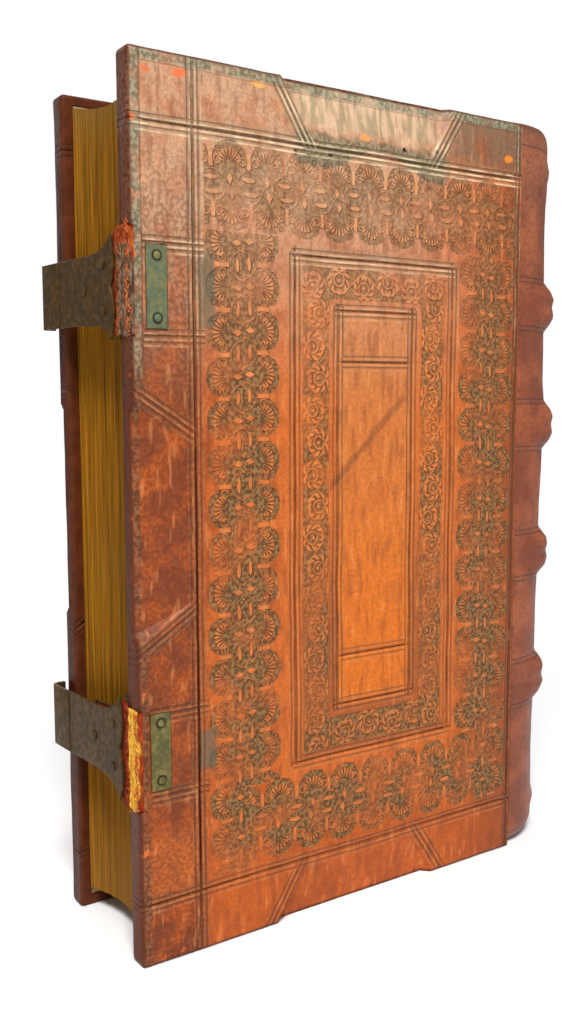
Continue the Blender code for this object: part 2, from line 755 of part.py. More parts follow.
def turned_mesh(name, profile, place, direction):
    """Return a turned pin: a profile of radius and depth swept round its own axis."""
    work = bmesh.new()
    corners = [work.verts.new((radius, 0.0, depth)) for radius, depth in profile]
    edges = [work.edges.new(pair) for pair in zip(corners, corners[1:])]
    bmesh.ops.spin(
        work,
        geom=corners + edges,
        axis=(0.0, 0.0, 1.0),
        cent=(0.0, 0.0, 0.0),
        steps=PIN_SIDES,
        angle=math.tau,
        use_duplicate=False,
    )
    bmesh.ops.remove_doubles(work, verts=work.verts, dist=WELD_DISTANCE)
    aim = Vector((0.0, 0.0, 1.0)).rotation_difference(Vector(direction)).to_matrix().to_4x4()
    work.transform(Matrix.Translation(place) @ aim)
    return finished_mesh(work, name)


def dome_profile(radius, height):
    """Radius and depth of a domed head, from its top down to its rim."""
    angles = [math.pi / 2 * step / DOME_STEPS for step in range(DOME_STEPS + 1)]
    return [(radius * math.sin(angle), height * (1 - math.cos(angle))) for angle in angles]


def nail_profile():
    """Radius and depth of a nail: domed head, then a shank that tapers to a point."""
    shank = [(NAIL_SHANK_RADIUS, NAIL_HEAD_HEIGHT), (NAIL_SHANK_RADIUS, NAIL_LENGTH - NAIL_POINT)]
    return dome_profile(NAIL_HEAD_RADIUS, NAIL_HEAD_HEIGHT) + shank + [(0.0, NAIL_LENGTH)]


def nail(name, x, z, side, frame, groups, material):
    """A nail driven through a plate into the board."""
    place = (x, side.y(NAIL_FACE), z)
    direction = (0.0, float(side.inward), 0.0)
    piece = add_piece(turned_mesh(name, nail_profile(), place, direction), frame, material, groups[0])
    smooth(piece)
    return piece


def nail_hole(name, x, z, side, frame, cutters):
    """The hole that a nail's shank fills in every layer below its head."""
    start = (x, side.y(-CUTTER_OVERRUN), z)
    end = (x, side.y(NAIL_FACE + NAIL_LENGTH + GAP), z)
    mesh = rod_mesh(name, NAIL_SHANK_RADIUS + GAP, start, end, "y")
    return add_cutter(mesh, frame, cutters)


def board_plate(name, place, cover, groups, material, layers):
    """A nailed plate let into the leather near the fore-edge, with its two nails.

    place is the plate's span in x, its middle height and its length. layers are the
    pieces under the plate that its nails go through.
    """
    parts, cutters = groups
    side, frame = cover
    (low_x, high_x), middle_z, length = place
    low_z, high_z = middle_z - length / 2, middle_z + length / 2
    bottom = PLATE_THICKNESS - PLATE_PROUD
    mesh = box_mesh(name, (low_x, side.y(-PLATE_PROUD), low_z), (high_x, side.y(bottom), high_z))
    plate = add_piece(mesh, frame, material, parts)
    recess = box_mesh(
        name + "_recess",
        (low_x - GAP, side.y(-CUTTER_OVERRUN), low_z - GAP),
        (high_x + GAP, side.y(bottom + GAP), high_z + GAP),
    )
    combine(layers[0], add_cutter(recess, frame, cutters))
    middle_x = (low_x + high_x) / 2
    for label, z in (("lower", low_z + NAIL_INSET), ("upper", high_z - NAIL_INSET)):
        hole = nail_hole(f"{name}_{label}_hole", middle_x, z, side, frame, cutters)
        for layer in [plate] + layers:
            combine(layer, hole)
        nail(f"{name}_{label}_nail", middle_x, z, side, frame, groups, material)
    return plate


def strap_slit(name, middle_z, frame, cutters):
    """Cutters for the strap's way out of the leather and its bed in the board."""
    low = (-CUTTER_OVERRUN, -CUTTER_OVERRUN, middle_z - STRAP_WIDTH / 2 - GAP)
    high_z = middle_z + STRAP_WIDTH / 2 + GAP
    slit = box_mesh(name + "_slit", low, (SLIT_X, COVER_THICKNESS + CUTTER_OVERRUN, high_z))
    floor = LEATHER + 2 * GAP + STRAP_THICKNESS
    bed = box_mesh(name + "_bed", low, (STRAP_INLAY + GAP, floor, high_z))
    edge_x = STRAP_FACE_X + STRAP_THICKNESS + GAP
    notch = box_mesh(name + "_notch", low, (edge_x, COVER_THICKNESS, high_z))
    return [add_cutter(mesh, frame, cutters) for mesh in (slit, bed, notch)]


def anchored_strap(label, strap_z, anchor, cover, groups, materials):
    """The strap's fixed end, inlaid in the back board and held by a nailed plate."""
    side, frame, board, skin = cover
    slit, bed, notch = strap_slit(f"{label}_strap", strap_z, frame, groups[1])
    combine(skin, slit)
    combine(board, bed)
    combine(board, notch)
    mesh = strap_base_mesh(f"{label}_strap_anchor", strap_z)
    base = add_piece(mesh, frame, materials["strap"], groups[0])
    anchor_x, shift = anchor
    place = ((anchor_x, anchor_x + ANCHOR_WIDTH), strap_z + shift, ANCHOR_LENGTH)
    name = f"{label}_anchor_plate"
    board_plate(name, place, (side, frame), groups, materials["brass"], [skin, base, board])


def free_strap(label, strap_z, frame, groups, material):
    """The part of the strap that swings, from the board's edge into the clasp."""
    half = STRAP_WIDTH / 2
    mesh = box_mesh(
        f"{label}_strap",
        (STRAP_FACE_X, CLASP_PIVOT[1] + GAP / 2, strap_z - half),
        (STRAP_FACE_X + STRAP_THICKNESS, STRAP_END_Y, strap_z + half),
    )
    return add_piece(mesh, frame, material, groups[0])


def clasp_plates(label, strap_z, frame, groups, material):
    """The fishtail plate with its hook, and the backing plate behind the strap."""
    parts, cutters = groups
    face_x = STRAP_FACE_X - GAP - CLASP_THICKNESS / 2
    outline = fishtail_outline(BOOK_THICKNESS - COVER_THICKNESS)
    mesh = flat_mesh(f"{label}_clasp", outline, CLASP_THICKNESS, edge_plane(face_x, strap_z))
    plate = add_piece(mesh, frame, material, parts)
    combine(plate, add_cutter(hook_mesh(f"{label}_hook", strap_z), frame, cutters), "UNION")
    back_x = STRAP_FACE_X + STRAP_THICKNESS + GAP + CLASP_BACK_THICKNESS / 2
    back_outline = fishtail_outline(STRAP_END_Y + 2 * RIVET_HEAD_RADIUS)
    back_plane = edge_plane(back_x, strap_z)
    back_mesh = flat_mesh(f"{label}_clasp_back", back_outline, CLASP_BACK_THICKNESS, back_plane)
    return plate, add_piece(back_mesh, frame, material, parts)


def clasp(label, strap_z, frame, groups, materials):
    """The swinging part of one clasp: strap, fishtail plate with its hook, and rivets."""
    strap = free_strap(label, strap_z, frame, groups, materials["strap"])
    plate, back = clasp_plates(label, strap_z, frame, groups, materials["clasp"])
    rivet_places = (
        ("neck", NECK_RIVET_Y, 0.0),
        ("upper", LOBE_RIVET_Y, LOBE_RIVET_Z),
        ("lower", LOBE_RIVET_Y, -LOBE_RIVET_Z),
    )
    for place, y, z in rivet_places:
        name = f"{label}_{place}_rivet"
        clasp_rivet(name, y, strap_z + z, [strap, plate, back], frame, groups, materials["clasp"])


def clasp_rivet(name, y, z, layers, frame, groups, material):
    """A rivet through both clasp plates and the strap between them."""
    parts, cutters = groups
    front_x = STRAP_FACE_X - GAP - CLASP_THICKNESS - RIVET_HEAD_HEIGHT
    back_x = STRAP_FACE_X + STRAP_THICKNESS + GAP + CLASP_BACK_THICKNESS + GAP
    hole_start = (front_x - CUTTER_OVERRUN, y, z)
    hole_end = (back_x + CUTTER_OVERRUN, y, z)
    hole_mesh = rod_mesh(name + "_hole", RIVET_RADIUS + GAP, hole_start, hole_end, "x")
    hole = add_cutter(hole_mesh, frame, cutters)
    for layer in layers:
        combine(layer, hole)
    length = back_x - front_x
    profile = dome_profile(RIVET_HEAD_RADIUS, RIVET_HEAD_HEIGHT)
    profile += [(RIVET_RADIUS, RIVET_HEAD_HEIGHT), (RIVET_RADIUS, length), (0.0, length)]
    mesh = turned_mesh(name, profile, (front_x - GAP, y, z), (1.0, 0.0, 0.0))
    rivet = add_piece(mesh, frame, material, parts)
    smooth(rivet)
    return rivet


def swung_out(x, y):
    """Where a point of the closed clasp lies while the clasp stands off at rest."""
    across = x - CLASP_PIVOT[0]
    along = y - CLASP_PIVOT[1]
    sine, cosine = math.sin(CLASP_STAND_OFF), math.cos(CLASP_STAND_OFF)
    return (
        CLASP_PIVOT[0] + across * cosine - along * sine,
        CLASP_PIVOT[1] + across * sine + along * cosine,
    )


def base_middle():
    """The middle of the whole book's outline in the layout, hooks, bands and nails included."""
    left = swung_out(*HOOK_CENTRE)[0] - HOOK_BEND_RADIUS - HOOK_THICKNESS
    right = SPINE_CENTRE_X + SPINE_RADIUS + BAND_RISE
    far = swung_out(HOOK_LAP, HOOK_FACE_Y + HOOK_THICKNESS)[1]
    return Vector(((left + right) / 2, (NAIL_FACE + far) / 2, 0.0))


def make_materials():
    """Plain colours of the book's materials."""
    return {
        "leather": make_material("tooled_leather", (0.20, 0.060, 0.022), 0.45),
        "strap": make_material("strap_leather", (0.33, 0.12, 0.045), 0.75),
        "wood": make_material("beech_board", (0.32, 0.19, 0.09), 0.7),
        "paper": make_material("leaf_edges", (0.42, 0.29, 0.11), 0.85),
        "pastedown": make_material("pasted_paper", (0.62, 0.52, 0.33), 0.9),
        "cord": make_material("hemp_cord", (0.45, 0.36, 0.22), 0.9),
        "brass": make_material("anchor_brass", (0.22, 0.24, 0.14), 0.45, 0.8),
        "clasp": make_material("dark_brass", (0.13, 0.11, 0.07), 0.45, 0.8),
    }


def build_book():
    """Build every piece of the book."""
    clear_scene()
    groups = (make_collection("antique_leather_book"), make_collection("cutters"))
    materials = make_materials()
    origin = Frame("book_layout", (0.0, 0.0, 0.0))
    origin.empty.location = -base_middle()
    back = Side("back", 0.0, 1)
    front = Side("front", BOOK_THICKNESS, -1)
    back_frame = Frame("back_cover_hinge", (JOINT_X, back.outer_y, 0.0), origin)
    front_frame = Frame("front_cover_hinge", (JOINT_X, front.outer_y, 0.0), origin)

    text_block(origin, groups, materials["paper"])
    spine_leather(origin, groups, materials["leather"])
    for number, height in enumerate(BAND_HEIGHTS, start=1):
        sewing_band(number, height, origin, groups, materials["cord"])
    head_z = BOOK_HEIGHT - HEAD_SQUARE + GAP + ENDBAND_RADIUS
    endband("head_endband", head_z, origin, groups, materials["cord"])
    endband("tail_endband", TAIL_SQUARE - GAP - ENDBAND_RADIUS, origin, groups, materials["cord"])

    back_board, back_skin = make_cover(back, back_frame, groups, materials)
    front_board, front_skin = make_cover(front, front_frame, groups, materials)

    clasps = (
        ("upper", UPPER_CLASP_SHARE * BOOK_HEIGHT, (UPPER_ANCHOR_X, UPPER_ANCHOR_SHIFT)),
        ("lower", LOWER_CLASP_SHARE * BOOK_HEIGHT, (LOWER_ANCHOR_X, LOWER_ANCHOR_SHIFT)),
    )
    for label, strap_z, anchor in clasps:
        cover = (back, back_frame, back_board, back_skin)
        anchored_strap(label, strap_z, anchor, cover, groups, materials)
        pivot = (*CLASP_PIVOT, 0.0)
        clasp_frame = Frame(f"{label}_clasp_hinge", pivot, back_frame, CLASP_STAND_OFF)
        clasp(label, strap_z, clasp_frame, groups, materials)
        place = ((CATCH_X, CATCH_X + CATCH_WIDTH), strap_z, CATCH_LENGTH)
        layers = [front_skin, front_board]
        name = f"{label}_catch_plate"
        board_plate(name, place, (front, front_frame), groups, materials["brass"], layers)


build_book()
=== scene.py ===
"""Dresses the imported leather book: tooled covers, moulded spine, leaves, torn straps and clasps.

Everything is in metres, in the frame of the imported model. The finishes count in millimetres
on the book's own layout: x from the fore-edge of the boards to the spine, y from the back
cover's outer face to the front cover's, and z from tail to head.
"""

from __future__ import annotations

import logging
import math
import random
from dataclasses import dataclass
from enum import Enum

import bpy
from mathutils import Matrix, Vector, noise


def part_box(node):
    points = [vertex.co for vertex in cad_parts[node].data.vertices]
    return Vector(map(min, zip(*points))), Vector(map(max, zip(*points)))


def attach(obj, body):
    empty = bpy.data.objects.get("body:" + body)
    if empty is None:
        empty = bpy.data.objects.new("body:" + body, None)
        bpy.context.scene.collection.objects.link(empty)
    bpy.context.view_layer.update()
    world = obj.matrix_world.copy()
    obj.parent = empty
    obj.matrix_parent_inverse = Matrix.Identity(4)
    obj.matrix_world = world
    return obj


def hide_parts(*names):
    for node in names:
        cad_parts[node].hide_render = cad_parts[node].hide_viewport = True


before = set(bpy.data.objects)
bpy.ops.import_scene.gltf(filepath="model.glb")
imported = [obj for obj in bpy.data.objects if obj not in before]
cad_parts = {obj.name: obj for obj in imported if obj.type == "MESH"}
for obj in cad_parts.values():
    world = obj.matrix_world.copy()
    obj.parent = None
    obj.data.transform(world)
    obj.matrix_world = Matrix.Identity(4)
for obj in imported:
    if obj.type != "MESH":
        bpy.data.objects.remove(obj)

LOG = logging.getLogger("leather_book")
MM = 0.001
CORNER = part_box("back_cover_leather")[0]
HEIGHT = 320.0
THICKNESS = 65.4
JOINT_X = 182.0
CREEP_X = (1.96, 0.0077)
CREEP_Z = (0.94, 0.0087)


def tone(red: int, green: int, blue: int) -> tuple[float, float, float, float]:
    """Turn a colour as it is seen into the linear colour that a node holds.

    Args:
        red: Red from 0 to 255.
        green: Green from 0 to 255.
        blue: Blue from 0 to 255.

    Returns:
        The linear colour with full alpha.
    """
    parts = [part / 255 for part in (red, green, blue)]
    linear = [p / 12.92 if p <= 0.04045 else ((p + 0.055) / 1.055) ** 2.4 for p in parts]
    return (*linear, 1.0)


@dataclass
class Value:
    """A number in a material. Sums and products of it add Math nodes."""

    painter: "Painter"
    socket: bpy.types.NodeSocket

    def __add__(self, other: Factor) -> "Value":
        """Add."""
        return self.painter.maths("ADD", self, other)

    def __radd__(self, other: Factor) -> "Value":
        """Add, the other way round."""
        return self.painter.maths("ADD", other, self)

    def __sub__(self, other: Factor) -> "Value":
        """Take away."""
        return self.painter.maths("SUBTRACT", self, other)

    def __rsub__(self, other: Factor) -> "Value":
        """Take this away from the other."""
        return self.painter.maths("SUBTRACT", other, self)

    def __mul__(self, other: Factor) -> "Value":
        """Multiply."""
        return self.painter.maths("MULTIPLY", self, other)

    def __rmul__(self, other: Factor) -> "Value":
        """Multiply, the other way round."""
        return self.painter.maths("MULTIPLY", other, self)

    def __truediv__(self, other: Factor) -> "Value":
        """Divide."""
        return self.painter.maths("DIVIDE", self, other)

    def __abs__(self) -> "Value":
        """Drop the sign."""
        return self.painter.maths("ABSOLUTE", self)


Factor = Value | float
Colour = Value | tuple[int, int, int]


class Painter:
    """Builds the nodes of one material on a piece's own coordinates, counted in millimetres."""

    def __init__(
        self,
        name: str,
        roughness: float = 0.5,
        metallic: float = 0.0,
        coat: float = 0.0,
        shine: float = 0.35,
    ) -> None:
        """Start a material.

        Args:
            name: The material's name.
            roughness: Roughness where nothing else is painted.
            metallic: 1 for bare metal.
            coat: Weight of the waxy top layer.
            shine: How strongly the surface mirrors, 0.5 for common plastic.
        """
        self.material = bpy.data.materials.new(name)
        self.material.use_nodes = True
        self.tree = self.material.node_tree
        self.shader = self.tree.nodes["Principled BSDF"]
        self.shader.inputs["Roughness"].default_value = roughness
        self.shader.inputs["Metallic"].default_value = metallic
        self.shader.inputs["Coat Weight"].default_value = coat
        self.shader.inputs["Coat Roughness"].default_value = 0.3
        self.shader.inputs["Specular IOR Level"].default_value = shine
        self.colour: Colour = (0, 0, 0)
        here = self.node("ShaderNodeTexCoord", {}, {}, "Object")
        moved = self.node("ShaderNodeVectorMath", {"operation": "SUBTRACT"}, {0: here, 1: CORNER})
        self.place = self.node("ShaderNodeVectorMath", {"operation": "SCALE"}, {0: moved, "Scale": 1 / MM})
        self.x, self.y, self.z = (
            self.node("ShaderNodeSeparateXYZ", {}, {0: self.place}, axis) for axis in range(3)
        )

    def drift(self, reach: float, size: float) -> None:
        """Let x and z wander a little, so that nothing tooled by hand runs true.

        Args:
            reach: How far they may wander, in millimetres.
            size: How long one bend is, in millimetres.
        """
        self.x = self.x + (self.noise(size, 1) - 0.5) * reach
        self.z = self.z + (self.noise(size * 1.2, 1) - 0.5) * reach

    def node(self, kind: str, settings: dict, inputs: dict, output: int | str = 0) -> Value:
        """Add any node.

        Args:
            kind: The node's type.
            settings: Properties of the node, set before its sockets.
            inputs: A value or a link for each socket, by number or name.
            output: The socket to return.

        Returns:
            The chosen output.
        """
        added = self.tree.nodes.new(kind)
        for setting, choice in settings.items():
            setattr(added, setting, choice)
        for key, given in inputs.items():
            if isinstance(given, Value):
                self.tree.links.new(given.socket, added.inputs[key])
            else:
                added.inputs[key].default_value = given
        return Value(self, added.outputs[output])

    def maths(self, operation: str, *values: Factor) -> Value:
        """Add a Math node on one to three values."""
        return self.node("ShaderNodeMath", {"operation": operation}, dict(enumerate(values)))

    def highest(self, *values: Factor) -> Value:
        """Return the largest of several values."""
        result = values[0]
        for value in values[1:]:
            result = self.maths("MAXIMUM", result, value)
        return result

    def rise(self, value: Value, low: float, high: float) -> Value:
        """Ease from 0 at low to 1 at high; low may be the larger."""
        return self.node(
            "ShaderNodeMapRange", {"interpolation_type": "SMOOTHSTEP"}, {0: value, 1: low, 2: high}
        )

    def near(self, value: Value, centre: float, half: float, soft: float) -> Value:
        """Return 1 within half of a centre, easing to 0 over the soft edge."""
        return self.rise(abs(value - centre), half + soft, half - soft)

    def length(self, across: Value, along: Value) -> Value:
        """Return the distance of two offsets from their origin."""
        return self.maths("SQRT", across * across + along * along)

    def ring(self, across: Value, along: Value, radius: float, half: float) -> Value:
        """Return a raised ring about the origin of two offsets."""
        return self.near(self.length(across, along), radius, half, 0.22)

    def noise(
        self, size: float, detail: float = 3.0, stretch: tuple | None = None, warp: float = 0.0
    ) -> Value:
        """Return soft noise between 0 and 1.

        Args:
            size: Size of its patches in millimetres.
            detail: How much finer noise is laid over it.
            stretch: Divides the size along each axis, for grain that runs one way.
            warp: How much the noise is twisted.

        Returns:
            The noise.
        """
        place = self.place
        if stretch:
            place = self.node("ShaderNodeVectorMath", {"operation": "MULTIPLY"}, {0: place, 1: stretch})
        inputs = {"Vector": place, "Scale": 1 / size, "Detail": detail, "Distortion": warp}
        return self.node("ShaderNodeTexNoise", {}, inputs)

    def patches(self, size: float, low: float, high: float, detail: float = 4.0) -> Value:
        """Return ragged patches: noise pushed towards 0 and 1."""
        return self.rise(self.noise(size, detail), low, high)

    def creases(self, size: float, width: float, stretch: tuple | None = None) -> Value:
        """Return 1 along thin wandering lines, as in creased skin."""
        return self.rise(abs(self.noise(size, 2, stretch, 1.2) - 0.5), width, width * 0.2)

    def cracks(self, size: float, width: float) -> Value:
        """Return 1 in the fine cracks between cells of old leather or varnish."""
        inputs = {"Vector": self.place, "Scale": 1 / size}
        bent = self.node("ShaderNodeTexNoise", {}, inputs, 1)
        shifted = self.node("ShaderNodeVectorMath", {"operation": "ADD"}, {0: self.place, 1: bent})
        inputs["Vector"] = shifted
        edge = self.node("ShaderNodeTexVoronoi", {"feature": "DISTANCE_TO_EDGE"}, inputs)
        return self.rise(edge, width, 0.0)

    def blend(self, factor: Factor, first: Colour, second: Colour) -> Value:
        """Mix two colours: the first at 0, the second at 1."""
        first, second = (tone(*c) if isinstance(c, tuple) else c for c in (first, second))
        return self.node("ShaderNodeMix", {"data_type": "RGBA"}, {0: factor, 6: first, 7: second}, 2)

    def lay(self, factor: Factor, colour: Colour) -> None:
        """Lay a colour over what is painted so far, where the factor is 1."""
        self.colour = self.blend(factor, self.colour, colour)

    def finish(self, height: Value, depth: float, roughness: Value | None = None) -> bpy.types.Material:
        """Link the painted colour, relief and gloss to the shader.

        Args:
            height: Relief from 0 to 1.
            depth: Depth of that relief in metres.
            roughness: Roughness where it varies.

        Returns:
            The finished material.
        """
        self.tree.links.new(self.colour.socket, self.shader.inputs["Base Color"])
        bump = self.node("ShaderNodeBump", {}, {"Strength": 1.0, "Distance": depth, "Height": height})
        self.tree.links.new(bump.socket, self.shader.inputs["Normal"])
        if roughness is not None:
            self.tree.links.new(roughness.socket, self.shader.inputs["Roughness"])
        return self.material


@dataclass(frozen=True)
class Stripe:
    """A pair of straight fillets on a cover: where they lie, and how far they run."""

    middle: float
    half: float
    run_middle: float
    run_half: float


@dataclass(frozen=True)
class Roll:
    """Where a decorated roll runs round its frame, in millimetres.

    columns and rows are the middles of the upright and the level runs. starts are where the
    pattern begins on the left, right, head and tail run. The upright runs end at head_z, and
    from foot_z down only their outer part, past foot_inset, goes on.
    """

    columns: tuple[float, float]
    rows: tuple[float, float]
    half: float
    starts: tuple[float, float, float, float]
    head_z: float
    foot_z: float
    foot_inset: float
    box: tuple[float, float, float, float]


@dataclass(frozen=True)
class Mark:
    """A spot on a cover: its middle, its half width and half height, and its colour."""

    x: float
    z: float
    half_x: float
    half_z: float
    colour: tuple[int, int, int]


@dataclass(frozen=True)
class Tooling:
    """The plan of the covers' blind tooling, in millimetres."""

    upright: tuple[Stripe, ...] = (
        Stripe(102.1, 79.9, 160.0, 170.0),
        Stripe(104.5, 39.5, 160.5, 99.0),
        Stripe(103.75, 18.75, 160.7, 80.0),
    )
    level: tuple[Stripe, ...] = (
        Stripe(160.35, 137.65, 100.0, 110.0),
        Stripe(160.5, 97.5, 104.5, 41.5),
        Stripe(160.75, 77.75, 103.7, 21.0),
        Stripe(160.75, 58.15, 103.7, 17.0),
        Stripe(242.3, 15.7, 14.5, 12.5),
        Stripe(77.6, 14.9, 14.5, 12.5),
    )
    outer: Roll = Roll(
        (42.4, 164.0),
        (279.6, 42.6),
        15.8,
        (182.0, 177.8, 85.5, 89.0),
        263.9,
        58.2,
        -1.5,
        (103.2, 76.6, 160.8, 134.6),
    )
    inner: Roll = Roll(
        (74.7, 133.6),
        (248.5, 72.0),
        6.2,
        (182.0, 174.0, 91.4, 95.0),
        242.6,
        0.0,
        0.0,
        (104.2, 35.8, 160.3, 94.4),
    )
    repeat: float = 15.8
    vine: float = 24.4


@dataclass(frozen=True)
class TooledCalf:
    """Orange-brown calf with blind rolls and fillets, rubbed, stained and darkened at its edges; its
    fillets' pale edges are partly painted highlights.
    """

    name: str = "tooled_calf"
    plan: Tooling = Tooling()
    losses: tuple[Mark, ...] = (
        Mark(4.9, 314.7, 1.8, 1.3, (214, 106, 56)),
        Mark(16.6, 315.0, 3.0, 1.6, (236, 96, 38)),
        Mark(49.5, 316.6, 3.0, 1.2, (228, 172, 84)),
        Mark(98.8, 304.5, 2.4, 1.4, (246, 146, 66)),
        Mark(175.1, 305.7, 2.4, 1.6, (244, 138, 34)),
        Mark(171.5, 295.8, 8.5, 0.7, (232, 128, 52)),
    )
    nail_holes: tuple[tuple[float, float], ...] = (
        (65.7, 295.1),
        (81.2, 296.0),
        (117.9, 302.5),
        (134.7, 303.9),
    )
    rings: tuple[tuple[float, float, float], ...] = (
        (105.5, 168.0, 5.6),
        (92.7, 132.0, 5.0),
        (113.7, 125.7, 5.0),
    )
    plate_stains: tuple[tuple[float, float, float], ...] = ((243.0, 13.0, 27.0), (76.5, 7.5, 26.0))
    groove_pitch: float = 1.07
    # Shift of each groove's pale edge to its lit side: a painted highlight, partly rubbed wear.
    rubbed_highlight_shift: float = 1.15
    out_of_reach: float = 9.0
    bevel_rake: float = 0.643
    bevel_square: float = 0.841
    stop_from_corner: float = 2.6
    head_bevel: tuple[float, float] = (102.5, 42.5)
    tail_bevel: tuple[float, float] = (97.7, 40.8)
    fore_edge_bevel: tuple[float, float] = (161.2, 42.8)
    stretch: tuple[float, float] = (1.0071, 1.0088)
    slide: tuple[float, float] = (1.98, 0.95)

    def material(self) -> bpy.types.Material:
        """Build the covers' material.

        Returns:
            The finished material.
        """
        p = Painter(self.name, shine=0.14)
        true_x, true_z = p.x, p.z
        p.x = p.x * self.stretch[0] - self.slide[0]
        p.z = p.z * self.stretch[1] - self.slide[1]
        p.drift(1.8, 52.0)
        # The crests are the grooves' pale edges: painted highlights on their lit sides, partly rubbed wear.
        grooves, crests, wash = self.fillets(p)
        slants, slant_rubbed_highlights, slant_wash = self.stops(p)
        lines = p.highest(grooves, slants)
        crests = p.highest(crests, slant_rubbed_highlights)
        wash = p.highest(wash, slant_wash)
        p.drift(0.9, 5.0)
        outer, outer_ground = self.outer_roll(p)
        inner, inner_ground = self.inner_roll(p)
        pressed = 0.45 + 0.55 * p.patches(20, 0.38, 0.56, 2)
        ground = p.highest(outer_ground, inner_ground) * pressed
        raised = p.highest(outer, inner) * pressed
        head = p.rise(p.z, 190, 295)
        speck = p.noise(1.5, 2)
        fine = p.rise(speck, 0.4, 0.62)
        self.leather(p, head, fine)
        dirt = p.blend(fine, (70, 58, 38), (134, 106, 66))
        p.lay(ground * (0.86 - 0.3 * head), dirt)
        p.lay(raised * 0.3, (232, 146, 82))
        creases = p.creases(7.0, 0.035) * (0.25 + 0.75 * head)
        p.lay(creases * 0.22, (96, 60, 40))
        ragged = (p.noise(6, 2) - 0.5) * 8
        self.marks(p, fine, ragged)
        rubbed = 0.25 + 0.75 * p.patches(9, 0.42, 0.6, 2)
        p.lay(wash * (0.16 + 0.4 * head) * fine, (140, 128, 98))
        # Grooves painted dark: grime in them, and painted shade on their walls.
        p.lay(lines * (0.3 + 0.35 * fine), (64, 44, 30))
        # Painted highlight along the grooves' lit edges, paler towards the head, partly rubbed wear.
        rubbed_highlight_tone = p.blend(head, (206, 134, 82), (230, 206, 168))
        p.lay(crests * rubbed * (0.3 + 0.4 * head), rubbed_highlight_tone)
        p.x, p.z = true_x, true_z
        self.edges(p, fine, ragged)
        grain = speck * 0.16 + p.noise(5.0, 2) * 0.4
        relief = grain + raised * 0.5 - lines * 0.6 - ground * 0.3
        gloss = 0.4 + 0.16 * speck + ground * 0.14
        return p.finish(relief, 1.0 * MM, gloss)

    def leather(self, p: Painter, head: Value, fine: Value) -> None:
        """Paint the skin itself: vivid in the panels, dusty and with a painted sheen at the head, dark at
        the edges.

        Args:
            p: The painter.
            head: How near a place is to the head, from 0 to 1.
            fine: Fine mottling from 0 to 1.
        """
        mottle = p.noise(11, 3)
        streaks = p.noise(3.0, 2, (1.0, 1.0, 0.22))
        p.colour = p.blend(p.rise(mottle, 0.4, 0.6), (166, 80, 32), (196, 98, 40))
        p.lay(p.rise(p.z, 110, 20) * 0.5, (184, 86, 26))
        gutter = p.near(p.x, 104, 46, 6) * p.near(p.z, 150, 100, 12)
        p.lay(gutter * 0.75, (204, 106, 42))
        panel = p.near(p.x, 104, 19, 2) * p.near(p.z, 160, 78, 2)
        panel_tone = p.blend(p.rise(p.z, 215, 110), (196, 116, 58), (214, 112, 32))
        p.lay(panel * 0.8, panel_tone)
        margin = p.highest(p.rise(p.x, 30, 18), p.rise(p.x, 176, 186)) * p.rise(p.z, 300, 262)
        p.lay(margin * p.rise(mottle, 0.34, 0.58) * 0.9, (112, 54, 32))
        p.lay(p.rise(p.x, 138, 186) * 0.55, (124, 62, 34))
        # Paler at the head and away from the spine: dust, and a painted sheen.
        dust_and_sheen = head * (0.55 + 0.45 * p.rise(mottle, 0.3, 0.6)) * p.rise(p.x, 186, 96)
        p.lay(dust_and_sheen, (192, 150, 118))
        corner = p.rise(p.z, 296, 306) * p.rise(p.x, 132, 150) * p.rise(mottle, 0.3, 0.5)
        p.lay(corner * 0.8, (116, 100, 78))
        vine_band = p.near(p.x, 104, 36, 1.5) * p.near(p.z, 160, 96, 1.5) * (1 - panel)
        p.lay(vine_band * p.rise(p.z, 170, 110) * 0.45, (106, 58, 32))
        tail_field = p.rise(p.x, 24, 18) * p.near(p.z, 36, 12, 5)
        p.lay(tail_field * 0.7, (196, 102, 44))
        p.lay(p.rise(streaks, 0.5, 0.66) * 0.4, (122, 66, 42))
        p.lay((1 - fine) * (0.2 + 0.3 * margin), (92, 44, 24))
        p.lay(p.rise(streaks, 0.42, 0.3) * 0.25, (236, 156, 96))

    def grooved(self, p: Painter, spread: Value, shifted: Value) -> tuple[Value, Value, Value]:
        """Three grooves side by side, the middle one widest, each with one pale edge: a painted highlight
        on its lit side, partly rubbed wear.

        Args:
            p: The painter.
            spread: Distance from the middle groove.
            shifted: Distance from the middle groove's pale edge, its painted highlight.

        Returns:
            The grooves, the pale edges and the grimy band round them, each from 0 to 1.
        """
        outer = p.rise(spread, 0.8, 1.5)
        groove = p.rise(p.maths("PINGPONG", spread, self.groove_pitch), 0.72 - 0.3 * outer, 0.1)
        groove = groove * p.rise(spread, 2.75, 2.55)
        # Pale edge on the lit side: painted highlight, partly rubbed wear.
        crest = p.rise(p.maths("PINGPONG", shifted, self.groove_pitch), 0.55, 0.12)
        crest = crest * p.rise(shifted, 2.7, 2.5)
        return groove * (1 - 0.35 * outer), crest, p.rise(spread, 3.6, 2.8)

    def nearest(self, p: Painter, lines: list[tuple[Value, Value]]) -> tuple[Value, Value, Value]:
        """Cut the triple groove along whichever of several lines lies nearest.

        Args:
            p: The painter.
            lines: Signed distance from each line, and where that line runs.

        Returns:
            The grooves, the pale edges and the grimy band round them, each from 0 to 1.
        """
        spread: Factor = self.out_of_reach
        shifted: Factor = self.out_of_reach
        for offset, reach in lines:
            away = (1 - reach) * self.out_of_reach
            spread = p.maths("MINIMUM", spread, abs(offset) + away)
            # Shifted towards the lit side, for the painted highlight.
            shifted = p.maths("MINIMUM", shifted, abs(offset + self.rubbed_highlight_shift) + away)
        return self.grooved(p, spread, shifted)

